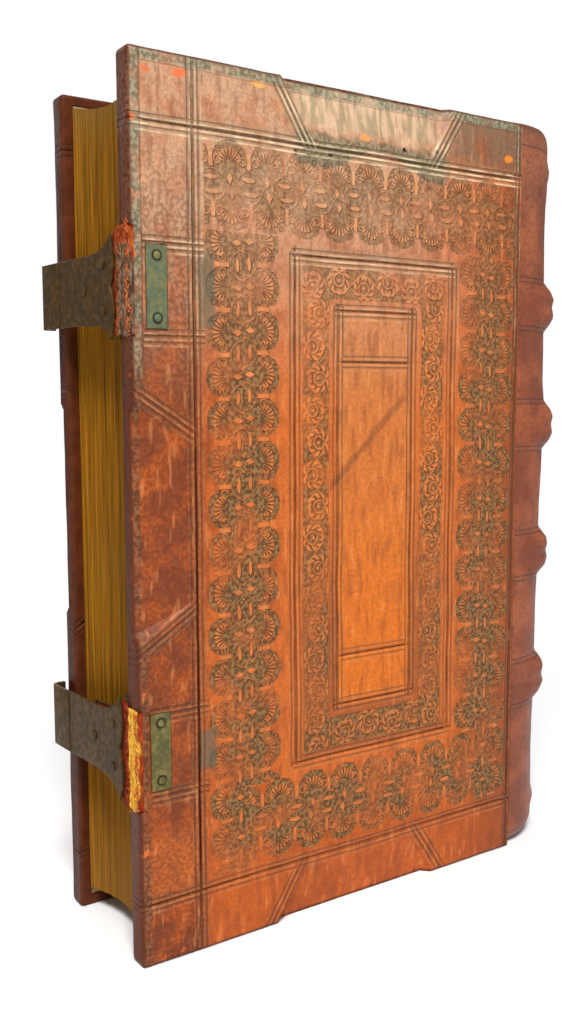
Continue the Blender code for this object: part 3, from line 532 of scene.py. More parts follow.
    def fillets(self, p: Painter) -> tuple[Value, Value, Value]:
        """Return the grooves, pale edges and grime of all straight fillets."""
        upright = self.straight(p, self.plan.upright, p.x, p.z, -1.0)
        level = self.straight(p, self.plan.level, p.z, p.x, 1.0)
        groove = p.highest(upright[0], level[0])
        # Painted highlight: stronger on the level fillets, lit from above, than on the upright ones.
        crest = p.highest(upright[1] * 0.4, level[1])
        return groove, crest * (1 - groove * 0.6), p.highest(upright[2], level[2])

    def straight(
        self, p: Painter, stripes: tuple[Stripe, ...], across: Value, along: Value, light: float
    ) -> tuple[Value, Value, Value]:
        """Cut the pairs of fillets that run one way.

        Args:
            p: The painter.
            stripes: The pairs of fillets.
            across: The coordinate across them.
            along: The coordinate along them.
            light: 1 or -1 for the side that faces the light, where the pale edges are painted as
                highlights.

        Returns:
            The grooves, the pale edges and the grimy band round them, each from 0 to 1.
        """
        lines = []
        for stripe in stripes:
            away = across - stripe.middle
            offset = (away - p.maths("SIGN", away) * stripe.half) * light
            lines.append((offset, p.near(along, stripe.run_middle, stripe.run_half, 0.8)))
        return self.nearest(p, lines)

    def stops(self, p: Painter) -> tuple[Value, Value, Value]:
        """Return the slanting fillets along both ends of each hewn bevel."""
        places = (
            (p.x, self.head_bevel, HEIGHT - p.z),
            (p.x, self.tail_bevel, p.z),
            (p.z, self.fore_edge_bevel, p.x),
        )
        lines = []
        for along, (middle, half), inward in places:
            beyond = abs(along - middle) - half
            offset = (beyond + inward * self.bevel_rake) * self.bevel_square - self.stop_from_corner
            lines.append((offset, p.rise(inward, 24.0, 22.5)))
        return self.nearest(p, lines)

    def roll_place(self, p: Painter, roll: Roll) -> tuple[Value, Value, Value]:
        """Lay a roll round a frame.

        Args:
            p: The painter.
            roll: Where it runs.

        Returns:
            The signed offset across the run, the distance along it, and where the run lies.
        """
        mid_x = (roll.columns[0] + roll.columns[1]) / 2
        mid_z = (roll.rows[0] + roll.rows[1]) / 2
        upright = abs(p.x - mid_x) - abs(roll.columns[1] - roll.columns[0]) / 2
        level = abs(p.z - mid_z) - abs(roll.rows[1] - roll.rows[0]) / 2
        foot = p.maths("LESS_THAN", p.z, roll.foot_z) * (roll.foot_inset + roll.half)
        use_upright = p.maths("GREATER_THAN", upright, foot - roll.half)
        use_upright = use_upright * p.maths("LESS_THAN", p.z, roll.head_z)
        left, right, top, bottom = roll.starts
        upright_start = left + (right - left) * p.maths("GREATER_THAN", p.x, mid_x)
        level_start = bottom + (top - bottom) * p.maths("GREATER_THAN", p.z, mid_z)
        along_level = p.x - level_start
        across = level + (upright - level) * use_upright
        along = along_level + (p.z - upright_start - along_level) * use_upright
        inside = p.near(p.x, roll.box[0], roll.box[1], 0.5) * p.near(p.z, roll.box[2], roll.box[3], 0.5)
        return across, along, inside * p.rise(abs(across), roll.half, roll.half - 0.5)

    def outer_roll(self, p: Painter) -> tuple[Value, Value]:
        """Two runs of a palmette roll side by side, facing outwards over lozenges and twin petals.

        Args:
            p: The painter.

        Returns:
            The raised pattern, and the dark ground round it.
        """
        across, along, inside = self.roll_place(p, self.plan.outer)
        half_repeat = self.plan.repeat / 2
        u = abs(across)
        w = p.maths("PINGPONG", along + 0.9 * p.maths("GREATER_THAN", across, 0.0), half_repeat)
        from_bar = w - half_repeat
        fan_u = u - 7.2
        radius = p.length(fan_u, w)
        angle = p.maths("ARCTAN2", w, fan_u)
        rib_half = math.radians(8.5)
        rib = p.maths("PINGPONG", angle, rib_half)
        ribs = p.rise((rib_half - rib) * radius, 0.08, 0.42)
        ribs = ribs * p.rise(radius + rib * rib * 40 + angle * angle * 0.5, 6.5, 5.9)
        fan = ribs * p.rise(radius, 1.5, 2.4) * p.rise(angle, 1.5, 1.3)
        volute = p.ring(u - 8.7, w - 5.3, 1.45, 0.3)
        curl = p.ring(u - 12.6, w - 5.0, 1.0, 0.2)
        bar = p.near(from_bar, 0.0, 0.95, 0.3) * p.near(u, 8.4, 2.6, 0.5)
        oval = p.near(p.length(u / 5.5, from_bar / 5.2), 1.0, 0.05, 0.05) * 0.6
        twin = p.rise(p.length((u - 2.5) / 0.95, from_bar / 2.9), 1.15, 0.75)
        lozenge = p.rise(abs(u - 2.6) / 2.5 + w / 1.4, 1.1, 0.75)
        seed = p.rise(p.length(u - 0.2, w - 2.7), 0.9, 0.4) * 0.7
        raised = p.highest(fan, volute, curl, bar, oval, twin, lozenge, seed) * inside
        cusp = p.rise(abs(from_bar) - (u - 10.0) * 0.5, 0.2, 0.8)
        scallop = p.highest(p.rise(radius, 8.7, 8.2) * cusp, p.rise(u, 10.2, 9.6))
        return raised, (1 - raised) * inside * scallop

    def inner_roll(self, p: Painter) -> tuple[Value, Value]:
        """A running vine whose scrolls turn to either side.

        Args:
            p: The painter.

        Returns:
            The raised pattern, and the dark ground round it.
        """
        across, along, inside = self.roll_place(p, self.plan.inner)
        turn = along / self.plan.vine * math.tau
        swing = p.maths("SINE", turn)
        stem = p.near(across - swing * 3.4, 0.0, 0.45, 0.3)
        side = p.maths("SIGN", swing)
        scroll_u = across * side + 1.2
        scroll_w = self.plan.vine / 4 - p.maths("PINGPONG", along, self.plan.vine / 4)
        away = p.length(scroll_u, scroll_w)
        angle = p.maths("ARCTAN2", scroll_w, scroll_u)
        scroll = p.near(away - angle * 0.35, 1.9, 0.4, 0.3)
        eye = p.rise(away, 1.0, 0.6)
        leaf_half = 0.34
        leaf = p.maths("PINGPONG", angle + away * 0.22, leaf_half)
        leaves = p.rise(leaf * away, 0.25, 0.7) * p.near(away, 4.3, 1.1, 0.4)
        raised = p.highest(stem, scroll, eye, leaves) * inside
        return raised, (1 - raised) * inside * 0.85

    def marks(self, p: Painter, fine: Value, ragged: Value) -> None:
        """Paint stains, rubbed places and losses on the outer face.

        Args:
            p: The painter.
            fine: Fine mottling from 0 to 1.
            ragged: How far the marks' borders wander, in millimetres.
        """
        self.head_stains(p, fine, ragged)
        for middle_x, middle_z, radius in self.rings:
            away = p.length(p.x - middle_x, p.z - middle_z) + ragged * 0.12
            p.lay(p.rise(away, radius, radius - 1.2) * 0.25, (168, 84, 44))
            p.lay(p.near(away, radius - 0.4, 0.25, 0.3) * 0.35, (126, 62, 34))
        for middle_z, half_z, middle_x in self.plate_stains:
            stain = p.near(p.z + ragged * 0.5, middle_z, half_z, 1.5)
            stain = stain * p.near(p.x + ragged * 0.3, middle_x, 3.4, 1.0)
            p.lay(stain * 0.7, (88, 90, 72))
        streak = abs((p.x - 99.0) * 0.674 - (p.z - 187.0) * 0.738) + ragged * 0.3
        streak = p.rise(streak, 2.2, 0.6) * p.near(p.x, 99.5, 19.0, 3)
        p.lay(streak * 0.45, (92, 56, 40))
        for mark in self.losses:
            away = p.length((p.x - mark.x) / mark.half_x, (p.z - mark.z) / mark.half_z) + ragged * 0.22
            p.lay(p.rise(away, 1.2, 0.6) * 0.65, mark.colour)

    def edges(self, p: Painter, fine: Value, ragged: Value) -> None:
        """Paint grimy strips and chips along the board's edges, and the dark turned-in skin.

        Args:
            p: The painter, back on the board's own places.
            fine: Fine mottling from 0 to 1.
            ragged: How far the marks' borders wander, in millimetres.
        """
        edge_x = p.x + ragged * 0.12
        edge_z = p.z - ragged * 0.12
        upper = p.rise(p.z, 205, 225)
        brown = p.blend(fine, (88, 52, 32), (128, 86, 58))
        grey = p.blend(fine, (96, 92, 72), (142, 140, 116))
        strip_tone = p.blend(upper, brown, grey)
        strip = p.highest(p.rise(edge_x, 4.0, 3.4), p.rise(edge_z, 315.6, 316.2) * p.rise(p.x, 186, 176))
        worn = 0.45 + 0.55 * p.patches(8, 0.36, 0.56, 3)
        p.lay(strip * worn * 0.85, strip_tone)
        seam = p.highest(p.near(edge_x, 4.1, 0.22, 0.25) * upper, p.near(edge_z, 315.4, 0.2, 0.25) * 0.7)
        p.lay(seam * 0.7, (58, 46, 38))
        chips = p.patches(5, 0.62, 0.68, 3) * p.highest(p.rise(p.x, 5, 2), p.rise(p.z, 14, 3) * 0.6)
        p.lay(chips * 0.75, (222, 108, 48))
        edge = p.highest(p.rise(p.x, 1.5, 0.5), p.rise(p.z, 1.8, 0.5), p.rise(p.z, 318.4, 319.4))
        p.lay(edge * (0.7 + 0.3 * fine), (84, 36, 18))
        far_edge = edge * p.rise(p.y, 40, 50)
        p.lay(far_edge * 0.8, (62, 18, 0))
        hidden = p.rise(abs(p.y - THICKNESS / 2), 27.6, 25.6)
        inside = p.blend(p.noise(5, 4), (44, 14, 4), (104, 50, 22))
        p.lay(hidden, inside)

    def head_stains(self, p: Painter, fine: Value, ragged: Value) -> None:
        """Paint grime in the head bevel, and the slate stain with four nail holes below it.

        Args:
            p: The painter.
            fine: Fine mottling from 0 to 1.
            ragged: How far the stains' borders wander, in millimetres.
        """
        in_bevel = p.near(p.x, 102, 36, 6)
        pale = p.rise(p.noise(2.6, 3, (1.0, 1.0, 0.2)), 0.4, 0.6)
        field = p.blend(pale, (150, 138, 108), (206, 176, 144))
        p.lay(in_bevel * p.rise(p.z + ragged, 301, 309) * 0.7, field)
        floor = 291.2 + 8.5 * p.near(p.x, 106, 14, 12)
        stain = p.rise(p.z - floor + ragged * 0.15, -0.4, 0.5) * p.rise(p.z + ragged * 0.7, 305.0, 301.5)
        stain = stain * p.near(p.x + ragged * 0.3, 103, 37, 2)
        p.lay(stain * 0.85, p.blend(fine, (92, 84, 64), (132, 120, 94)))
        for middle_x, middle_z in self.nail_holes:
            hole = p.length(p.x - middle_x, p.z - middle_z) + ragged * 0.06
            p.lay(p.rise(hole, 1.2, 0.7), (24, 20, 18))


@dataclass(frozen=True)
class SpineCalf:
    """Red-brown calf over the spine, rubbed pale on its bands."""

    name: str = "spine_calf"
    bands: tuple[float, ...] = (75.5, 134.0, 192.0, 244.5)

    def material(self) -> bpy.types.Material:
        """Build the spine's material.

        Returns:
            The finished material.
        """
        p = Painter(self.name, coat=0.06, shine=0.3)
        p.colour = p.blend(p.patches(20, 0.4, 0.65), (122, 58, 32), (154, 80, 44))
        p.lay(p.rise(p.z, 250, 310) * 0.35, (150, 96, 66))
        p.lay(p.rise(p.noise(1.6, 3), 0.5, 0.66) * 0.4, (92, 44, 26))
        lines: Factor = 0.0
        crests: Factor = 0.0
        for band in self.bands:
            away = abs(p.z - band)
            lines = p.highest(lines, *(p.near(away, line, 0.3, 0.25) for line in (9.4, 11.4)))
            crests = p.highest(crests, p.rise(away, 6.0, 3.0))
        lines = p.highest(lines, *(p.near(p.z, line, 0.3, 0.25) for line in (6.0, 311.0)))
        outer = p.rise(p.x, 208, 219)
        p.lay(crests * outer * 0.45, (186, 116, 68))
        p.lay(lines * 0.7, (70, 42, 30))
        p.lay(p.patches(8, 0.62, 0.7) * 0.35, (82, 42, 28))
        cracks = p.cracks(4.0, 0.05)
        p.lay(cracks * 0.4, (70, 36, 24))
        ends = p.highest(p.rise(p.z, 5.0, 1.0), p.rise(p.z, 315.0, 319.5))
        p.lay(ends * 0.7, (84, 52, 36))
        relief = 0.5 + p.noise(1.1, 4) * 0.12 + p.noise(6, 3) * 0.3 - lines * 0.5 - cracks * 0.15
        return p.finish(relief, 0.45 * MM, 0.36 + 0.24 * p.noise(12, 4))


@dataclass(frozen=True)
class LeafEdges:
    """Cut edges of many leaves, darkened to ochre at the fore-edge."""

    name: str = "leaf_edges"

    def material(self) -> bpy.types.Material:
        """Build the leaves' material.

        Returns:
            The finished material.
        """
        p = Painter(self.name, roughness=0.8, shine=0.05)
        leaves = p.noise(0.45, 3, (0.05, 1.0, 0.012), 0.2)
        quires = p.noise(2.6, 2, (0.04, 1.0, 0.006))
        p.colour = p.blend(p.rise(leaves, 0.3, 0.7), (96, 60, 8), (158, 104, 22))
        p.lay(p.rise(quires, 0.52, 0.7) * 0.5, (70, 42, 10))
        p.lay(p.patches(30, 0.5, 0.75) * 0.3, (112, 82, 34))
        p.lay(p.rise(p.z, 290, 312) * 0.4, (112, 92, 52))
        p.lay(p.rise(p.z, 60, 8) * 0.3, (150, 104, 50))
        relief = leaves * 0.7 + quires * 0.3
        return p.finish(relief, 0.5 * MM, 0.7 + 0.2 * leaves)


@dataclass(frozen=True)
class PastedPaper:
    """Cream paper pasted inside a board, foxed and browned along its edges."""

    name: str = "pasted_paper"

    def material(self) -> bpy.types.Material:
        """Build the paper's material.

        Returns:
            The finished material.
        """
        p = Painter(self.name, roughness=0.85)
        p.colour = p.blend(p.patches(40, 0.4, 0.7), (214, 196, 150), (190, 166, 116))
        p.lay(p.patches(4, 0.64, 0.72, 3) * 0.5, (140, 98, 54))
        rim = p.highest(p.rise(p.x, 16, 5), p.rise(p.z, 14, 5), p.rise(p.z, 306, 315))
        p.lay(rim * 0.6, (150, 116, 70))
        laid = p.maths("SINE", p.z * 5.2) * 0.08
        relief = 0.5 + laid + p.noise(2.0, 5) * 0.3
        return p.finish(relief, 0.12 * MM, 0.75 + 0.15 * p.noise(6))


@dataclass(frozen=True)
class BoardWood:
    """Old beech with its grain along the board's height."""

    name: str = "board_wood"

    def material(self) -> bpy.types.Material:
        """Build the wood's material.

        Returns:
            The finished material.
        """
        p = Painter(self.name, roughness=0.7)
        grain = p.noise(1.6, 5, (1.0, 1.0, 0.04), 0.4)
        p.colour = p.blend(p.rise(grain, 0.3, 0.7), (104, 70, 40), (160, 118, 74))
        p.lay(p.patches(25, 0.5, 0.7) * 0.4, (86, 56, 34))
        return p.finish(grain, 0.3 * MM, 0.6 + 0.25 * grain)


@dataclass(frozen=True)
class CordThread:
    """Twisted hemp of the sewing supports and endbands."""

    name: str = "cord_thread"

    def material(self) -> bpy.types.Material:
        """Build the thread's material.

        Returns:
            The finished material.
        """
        p = Painter(self.name, roughness=0.85)
        twist = p.maths("SINE", (p.z * 2.2 + p.y * 1.7 + p.x * 1.3) * 2.0) * 0.5 + 0.5
        p.colour = p.blend(twist, (126, 100, 62), (188, 164, 116))
        p.lay(p.patches(6, 0.5, 0.7) * 0.4, (104, 78, 48))
        return p.finish(twist * 0.7 + p.noise(0.5, 3) * 0.3, 0.3 * MM, 0.8 + 0.1 * twist)


class StrapLook(Enum):
    """How a torn strap looks: its torn skin, or its pale lining."""

    SKIN = "skin"
    LINING = "lining"


@dataclass(frozen=True)
class TornStrap:
    """Torn strap leather: fibres at both sides of a strip along the board's edge."""

    look: StrapLook
    strip: tuple[float, float]
    strip_tone: tuple[int, int, int]
    strip_shade: tuple[int, int, int]
    flesh_tone: tuple[int, int, int]
    flesh_shade: tuple[int, int, int]
    top: float

    def material(self) -> bpy.types.Material:
        """Build the torn leather's material.

        Returns:
            The finished material.
        """
        p = Painter(f"torn_{self.look.value}", roughness=0.8, shine=0.15)
        middle = (self.strip[0] + self.strip[1]) / 2
        half = (self.strip[1] - self.strip[0]) / 2
        wander = (p.noise(7, 3, (1.0, 1.0, 0.6)) - 0.5) * 4
        strip = p.near(p.y + wander, middle, half, 0.5)
        strip = strip * p.rise(p.z + wander, self.top + 0.6, self.top - 0.6)
        fibre = p.noise(1.2, 5, (1.0, 1.0, 0.35), 0.6)
        flesh = p.blend(p.rise(fibre, 0.3, 0.7), self.flesh_shade, self.flesh_tone)
        face = p.blend(p.rise(fibre, 0.35, 0.65), self.strip_shade, self.strip_tone)
        p.colour = p.blend(strip, flesh, face)
        beyond = p.rise(p.y + wander, self.strip[1] + 0.2, self.strip[1] + 1.0)
        p.lay(beyond * 0.8, (74, 22, 10))
        rim = p.near(p.y + wander, middle, half + 0.5, 0.6) - strip
        p.lay(p.rise(rim, 0.1, 0.8) * 0.6, (70, 30, 16))
        relief = fibre * 0.8 + strip * 0.4 - p.cracks(2.6, 0.1) * 0.4 * strip
        return p.finish(relief, 0.6 * MM, 0.7 + 0.2 * fibre)


@dataclass(frozen=True)
class StrapFibre:
    """Loose fibres of torn leather."""

    name: str
    light: tuple[int, int, int]
    dark: tuple[int, int, int]

    def material(self) -> bpy.types.Material:
        """Build the fibres' material.

        Returns:
            The finished material.
        """
        p = Painter(self.name, roughness=0.75)
        mottle = p.noise(1.5, 4)
        p.colour = p.blend(p.rise(mottle, 0.35, 0.65), self.dark, self.light)
        return p.finish(mottle, 0.2 * MM, 0.65 + 0.2 * mottle)


@dataclass(frozen=True)
class OldBrass:
    """Brass under a patina of two colours, worn bare in patches."""

    name: str
    bare: tuple[int, int, int]
    patina: tuple[int, int, int]
    bloom: tuple[int, int, int]
    bloom_share: float = 0.5
    nails: tuple[tuple[float, float], ...] = ()
    metal: float = 0.55
    roughness: float = 0.5

    def material(self) -> bpy.types.Material:
        """Build the metal's material.

        Returns:
            The finished material.
        """
        p = Painter(self.name, roughness=self.roughness, metallic=self.metal, shine=0.2)
        mottle = p.noise(2.2, 5)
        p.colour = p.blend(p.rise(mottle, 0.32, 0.6), self.bare, self.patina)
        bloom = p.patches(6.5, 0.62 - 0.2 * self.bloom_share, 0.76 - 0.2 * self.bloom_share)
        p.lay(bloom * 0.6, self.bloom)
        pits = p.rise(p.noise(0.7, 3), 0.62, 0.74)
        p.lay(pits * 0.5, (30, 28, 20))
        for nail_x, nail_z in self.nails:
            away = p.length(p.x - nail_x, p.z - nail_z)
            grime = p.rise(away, 2.4, 1.7) * p.rise(away, 1.2, 1.5)
            p.lay(grime * 0.85, (26, 26, 20))
        scratches = p.noise(0.4, 2, (1.0, 0.15, 1.0))
        relief = 0.5 + mottle * 0.3 - pits * 0.4 + scratches * 0.12
        return p.finish(relief, 0.14 * MM, self.roughness - 0.1 + 0.25 * mottle)


def ramp(value: float, low: float, high: float) -> float:
    """Return 0 at low and 1 at high, straight between them and level beyond."""
    return min(1.0, max(0.0, (value - low) / (high - low)))


def skin_creep(x: float, z: float) -> tuple[float, float]:
    """Return how far the worn skin has crept over its board at a place, in millimetres.

    The creep is greatest at the fore-edge's tail corner, and fades out towards every edge.

    Args:
        x: Distance from the fore-edge.
        z: Height above the tail.

    Returns:
        The creep along x and along z, none at the board's edges.
    """
    fade = 1.0
    for inward, soft in ((x, 3.0), (JOINT_X - x, 6.0), (z, 12.0), (HEIGHT - z, 12.0)):
        fade *= min(1.0, max(0.0, inward) / soft)
    return (CREEP_X[0] - CREEP_X[1] * x) * fade, (CREEP_Z[0] - CREEP_Z[1] * z) * fade


def take_up(piece: bpy.types.Object) -> None:
    """Make a piece the only selected object and the active one."""
    bpy.ops.object.select_all(action="DESELECT")
    bpy.context.view_layer.objects.active = piece
    piece.select_set(True)


def add_piece(mesh: bpy.types.Mesh) -> bpy.types.Object:
    """Put a mesh in the scene as a new piece of the same name."""
    piece = bpy.data.objects.new(mesh.name, mesh)
    bpy.context.scene.collection.objects.link(piece)
    return piece


def face_outward(piece: bpy.types.Object, merged: float = 0.0) -> None:
    """Turn every face of a piece outward.

    Args:
        piece: The piece.
        merged: Corners nearer than this become one first, in millimetres.
    """
    take_up(piece)
    bpy.ops.object.mode_set(mode="EDIT")
    bpy.ops.mesh.select_all(action="SELECT")
    if merged:
        bpy.ops.mesh.remove_doubles(threshold=merged * MM)
    bpy.ops.mesh.normals_make_consistent(inside=False)
    bpy.ops.object.mode_set(mode="OBJECT")


def copy_node(node: str, name: str) -> bpy.types.Object:
    """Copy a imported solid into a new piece, with the corners that its triangles share merged.

    Args:
        node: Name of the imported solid.
        name: Name of the new piece.

    Returns:
        The new piece.
    """
    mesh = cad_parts[node].data.copy()
    mesh.name = name
    mesh.materials.clear()
    piece = add_piece(mesh)
    face_outward(piece, 0.01)
    return piece


def slice_piece(piece: bpy.types.Object, axis: int, low: float, high: float, step: float) -> None:
    """Cut a piece's faces by evenly spaced planes square to one axis, in layout millimetres.

    Args:
        piece: The piece to cut.
        axis: 0, 1 or 2 for x, y or z.
        low: Place of the first plane.
        high: No plane lies past this.
        step: Distance between planes.
    """
    take_up(piece)
    normal = [0.0, 0.0, 0.0]
    normal[axis] = 1.0
    bpy.ops.object.mode_set(mode="EDIT")
    for count in range(int((high - low) / step) + 1):
        place = list(CORNER)
        place[axis] += (low + count * step) * MM
        bpy.ops.mesh.select_all(action="SELECT")
        bpy.ops.mesh.bisect(plane_co=place, plane_no=normal)
    bpy.ops.object.mode_set(mode="OBJECT")


def roughen(piece: bpy.types.Object, size: float, height: float, group: str = "") -> None:
    """Push a piece's surface in and out by soft noise.

    Args:
        piece: The piece.
        size: Size of the noise's patches in millimetres.
        height: Height of the relief in millimetres.
        group: Name of the vertex group to push, or every vertex.
    """
    texture = bpy.data.textures.new(f"{piece.name}_relief", "CLOUDS")
    texture.noise_scale = size * MM
    texture.noise_depth = 2
    take_up(piece)
    modifier = piece.modifiers.new("relief", "DISPLACE")
    modifier.texture = texture
    modifier.texture_coords = "LOCAL"
    modifier.strength = height * MM
    modifier.mid_level = 0.5
    modifier.vertex_group = group
    bpy.ops.object.modifier_apply(modifier=modifier.name)


def soften(piece: bpy.types.Object, width: float) -> None:
    """Round a piece's edges where they turn by more than 30 degrees.

    Args:
        piece: The piece.
        width: Width of the rounding in millimetres.
    """
    take_up(piece)
    modifier = piece.modifiers.new("softened", "BEVEL")
    modifier.width = width * MM
    modifier.segments = 2
    modifier.limit_method = "ANGLE"
    modifier.angle_limit = math.radians(30)
    bpy.ops.object.modifier_apply(modifier=modifier.name)


def shade(piece: bpy.types.Object, angle: float) -> None:
    """Shade a piece smooth up to edges sharper than the angle."""
    take_up(piece)
    bpy.ops.object.shade_smooth_by_angle(angle=math.radians(angle))


def dress(node: str, material: bpy.types.Material) -> None:
    """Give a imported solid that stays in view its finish."""
    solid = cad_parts[node]
    solid.data.materials.clear()
    solid.data.materials.append(material)
    LOG.info("%s: finished with %s", node, material.name)


def settle(
    piece: bpy.types.Object, body: str, material: bpy.types.Material, slot: str, *nodes: str
) -> None:
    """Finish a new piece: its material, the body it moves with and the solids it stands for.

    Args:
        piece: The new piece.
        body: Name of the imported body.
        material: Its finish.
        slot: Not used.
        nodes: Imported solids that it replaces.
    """
    piece.data.materials.clear()
    piece.data.materials.append(material)
    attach(piece, body)
    if nodes:
        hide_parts(*nodes)
    LOG.info("%s: %d faces on %s", piece.name, len(piece.data.polygons), body)


@dataclass
class Cover:
    """One cover: tooled skin over its board, with the paper pasted inside."""

    side: str
    outer_y: float
    inward: float
    grid: float = 2.5
    head: float = HEIGHT
    head_run: float = 17.0
    cockle: float = 0.5
    cockle_size: float = 38.0
    crease_size: float = 6.0
    clear_of_joint: float = 4.0
    skin_depth: float = 1.1
    edge_width: float = 0.9
    edge_depth: float = 7.5
    bevel_depth: float = 4.6

    def skin(self, material: bpy.types.Material) -> None:
        """Model the cockled leather skin over the board."""
        node = f"{self.side}_cover_leather"
        piece = copy_node(node, f"{self.side}_tooled_skin")
        slice_piece(piece, 0, self.grid, JOINT_X, self.grid)
        slice_piece(piece, 2, self.grid, HEIGHT - self.grid, self.grid)
        outer = self.outer_vertices(piece)
        for index in outer:
            vertex = piece.data.vertices[index]
            place = (vertex.co - CORNER) / MM
            across, along = skin_creep(place.x, place.z)
            vertex.co += Vector((across, 0.0, along)) * MM
        self.lower_head(piece)
        group = piece.vertex_groups.new(name="outer")
        group.add(outer, 1.0, "REPLACE")
        roughen(piece, self.cockle_size, self.cockle, "outer")
        roughen(piece, self.crease_size, self.cockle * 0.35, "outer")
        shade(piece, 32)
        settle(piece, f"{self.side}_cover", material, "tooled_leather", node)

    def lower_head(self, piece: bpy.types.Object) -> None:
        """Draw the head of a piece down to this cover's own height."""
        start = HEIGHT - self.head_run
        for vertex in piece.data.vertices:
            above = (vertex.co.z - CORNER.z) / MM - start
            if above > 0:
                vertex.co.z = CORNER.z + (start + above * (self.head - start) / self.head_run) * MM

    def lining(self, part: str, material: bpy.types.Material, slot: str) -> None:
        """Fit the board, or the paper pasted to it, to the skin's height."""
        node = f"{self.side}_{part}"
        piece = copy_node(node, f"{node}_fitted")
        self.lower_head(piece)
        shade(piece, 32)
        settle(piece, f"{self.side}_cover", material, slot, node)

    def outer_vertices(self, piece: bpy.types.Object) -> list[int]:
        """Return the vertices of the skin's outer face and edges, clear of the joint."""
        chosen = []
        for vertex in piece.data.vertices:
            place = (vertex.co - CORNER) / MM
            depth = (place.y - self.outer_y) * self.inward
            rim = min(place.x, place.z, HEIGHT - place.z)
            on_edge = rim < self.edge_width and depth < self.edge_depth
            outside = depth < self.skin_depth or on_edge or self.in_bevel(vertex, depth)
            if place.x < JOINT_X - self.clear_of_joint and outside:
                chosen.append(vertex.index)
        return chosen

    def in_bevel(self, vertex: bpy.types.MeshVertex, depth: float) -> bool:
        """Tell whether a vertex lies on a hewn bevel's outer slope."""
        facing = vertex.normal.y * self.inward
        return facing < -0.5 and depth < self.bevel_depth

    def build(
        self, leather: bpy.types.Material, wood: bpy.types.Material, paper: bpy.types.Material
    ) -> None:
        """Build the cover's skin, board and pasted sheet."""
        self.skin(leather)
        self.lining("board", wood, "board_wood")
        self.lining("pastedown", paper, "pasted_paper")


@dataclass
class Spine:
    """The moulded skin over the bands, with the cords and endbands under it."""

    swell_places: tuple[tuple[float, float], ...] = (
        (0.0, 0.0),
        (38.8, -0.5),
        (57.5, -0.4),
        (90.0, 0.0),
        (124.0, 0.3),
        (150.0, 0.6),
        (173.6, 1.2),
        (201.8, 1.6),
        (213.0, 1.0),
        (246.0, 0.6),
        (279.0, 0.3),
        (301.6, 0.9),
        (320.8, 0.6),
    )
    centre: tuple[float, float] = (186.0, THICKNESS / 2)
    slice_step: float = 4.0
    swell_ends: float = math.radians(84)
    swell_fade: float = math.radians(30)

    def swell(self, z: float) -> float:
        """Return how far the worn spine stands out beyond its plain round at a height."""
        for (low, start), (high, end) in zip(self.swell_places, self.swell_places[1:]):
            if z <= high:
                share = max(0.0, (z - low) / (high - low))
                return start + (end - start) * share * share * (3 - 2 * share)
        return self.swell_places[-1][1]

    def build(self, leather: bpy.types.Material, thread: bpy.types.Material) -> None:
        """Model the skin and finish the cords."""
        piece = copy_node("spine_leather", "moulded_spine")
        slice_piece(piece, 2, self.slice_step, 318.0, self.slice_step)
        take_up(piece)
        modifier = piece.modifiers.new("rounding", "SUBSURF")
        modifier.levels = 1
        modifier.render_levels = 1
        bpy.ops.object.modifier_apply(modifier=modifier.name)
        for vertex in piece.data.vertices:
            place = (vertex.co - CORNER) / MM
            out = Vector((place.x - self.centre[0], place.y - self.centre[1], 0.0))
            turn = abs(math.atan2(out.y, out.x))
            fade = ramp(turn, self.swell_ends, self.swell_ends - self.swell_fade)
            vertex.co += out.normalized() * self.swell(place.z) * fade * MM
        roughen(piece, 14.0, 0.5)
        shade(piece, 60)
        settle(piece, "text_block_and_spine", leather, "tooled_leather", "spine_leather")
        bands = [f"sewing_band_{count}" for count in range(1, 5)]
        for node in (*bands, "head_endband", "tail_endband"):
            dress(node, thread)


@dataclass
class Leaves:
    """The text block: quires that stand a little unevenly, cockled at head and fore-edge."""

    low_y: float = 10.5
    high_y: float = 54.9
    leaf_step: float = 0.9
    height_step: float = 9.0
    unevenness: float = 0.55
    fore_edge_x: float = 12.0
    spine_x: float = 180.0
    tail_z: float = 12.0
    head_z: float = 300.0

    def build(self, material: bpy.types.Material) -> None:
        """Model the leaves."""
        piece = copy_node("text_block", "leaves")
        slice_piece(piece, 1, self.low_y, self.high_y, self.leaf_step)
        slice_piece(piece, 2, 16.0, 308.0, self.height_step)
        for vertex in piece.data.vertices:
            place = (vertex.co - CORNER) / MM
            quire = noise.noise(Vector((place.y * 0.33, 3.1, place.z * 0.004)))
            leaf = noise.noise(Vector((place.y * 1.3, 7.7, place.z * 0.012)))
            shift = (quire * 0.8 + leaf * 0.5) * self.unevenness
            if place.x < self.fore_edge_x:
                vertex.co.x += shift * MM
            elif place.x < self.spine_x and (place.z > self.head_z or place.z < self.tail_z):
                vertex.co.z += shift * 0.7 * MM
        shade(piece, 20)
        settle(piece, "text_block_and_spine", material, "leaves", "text_block")


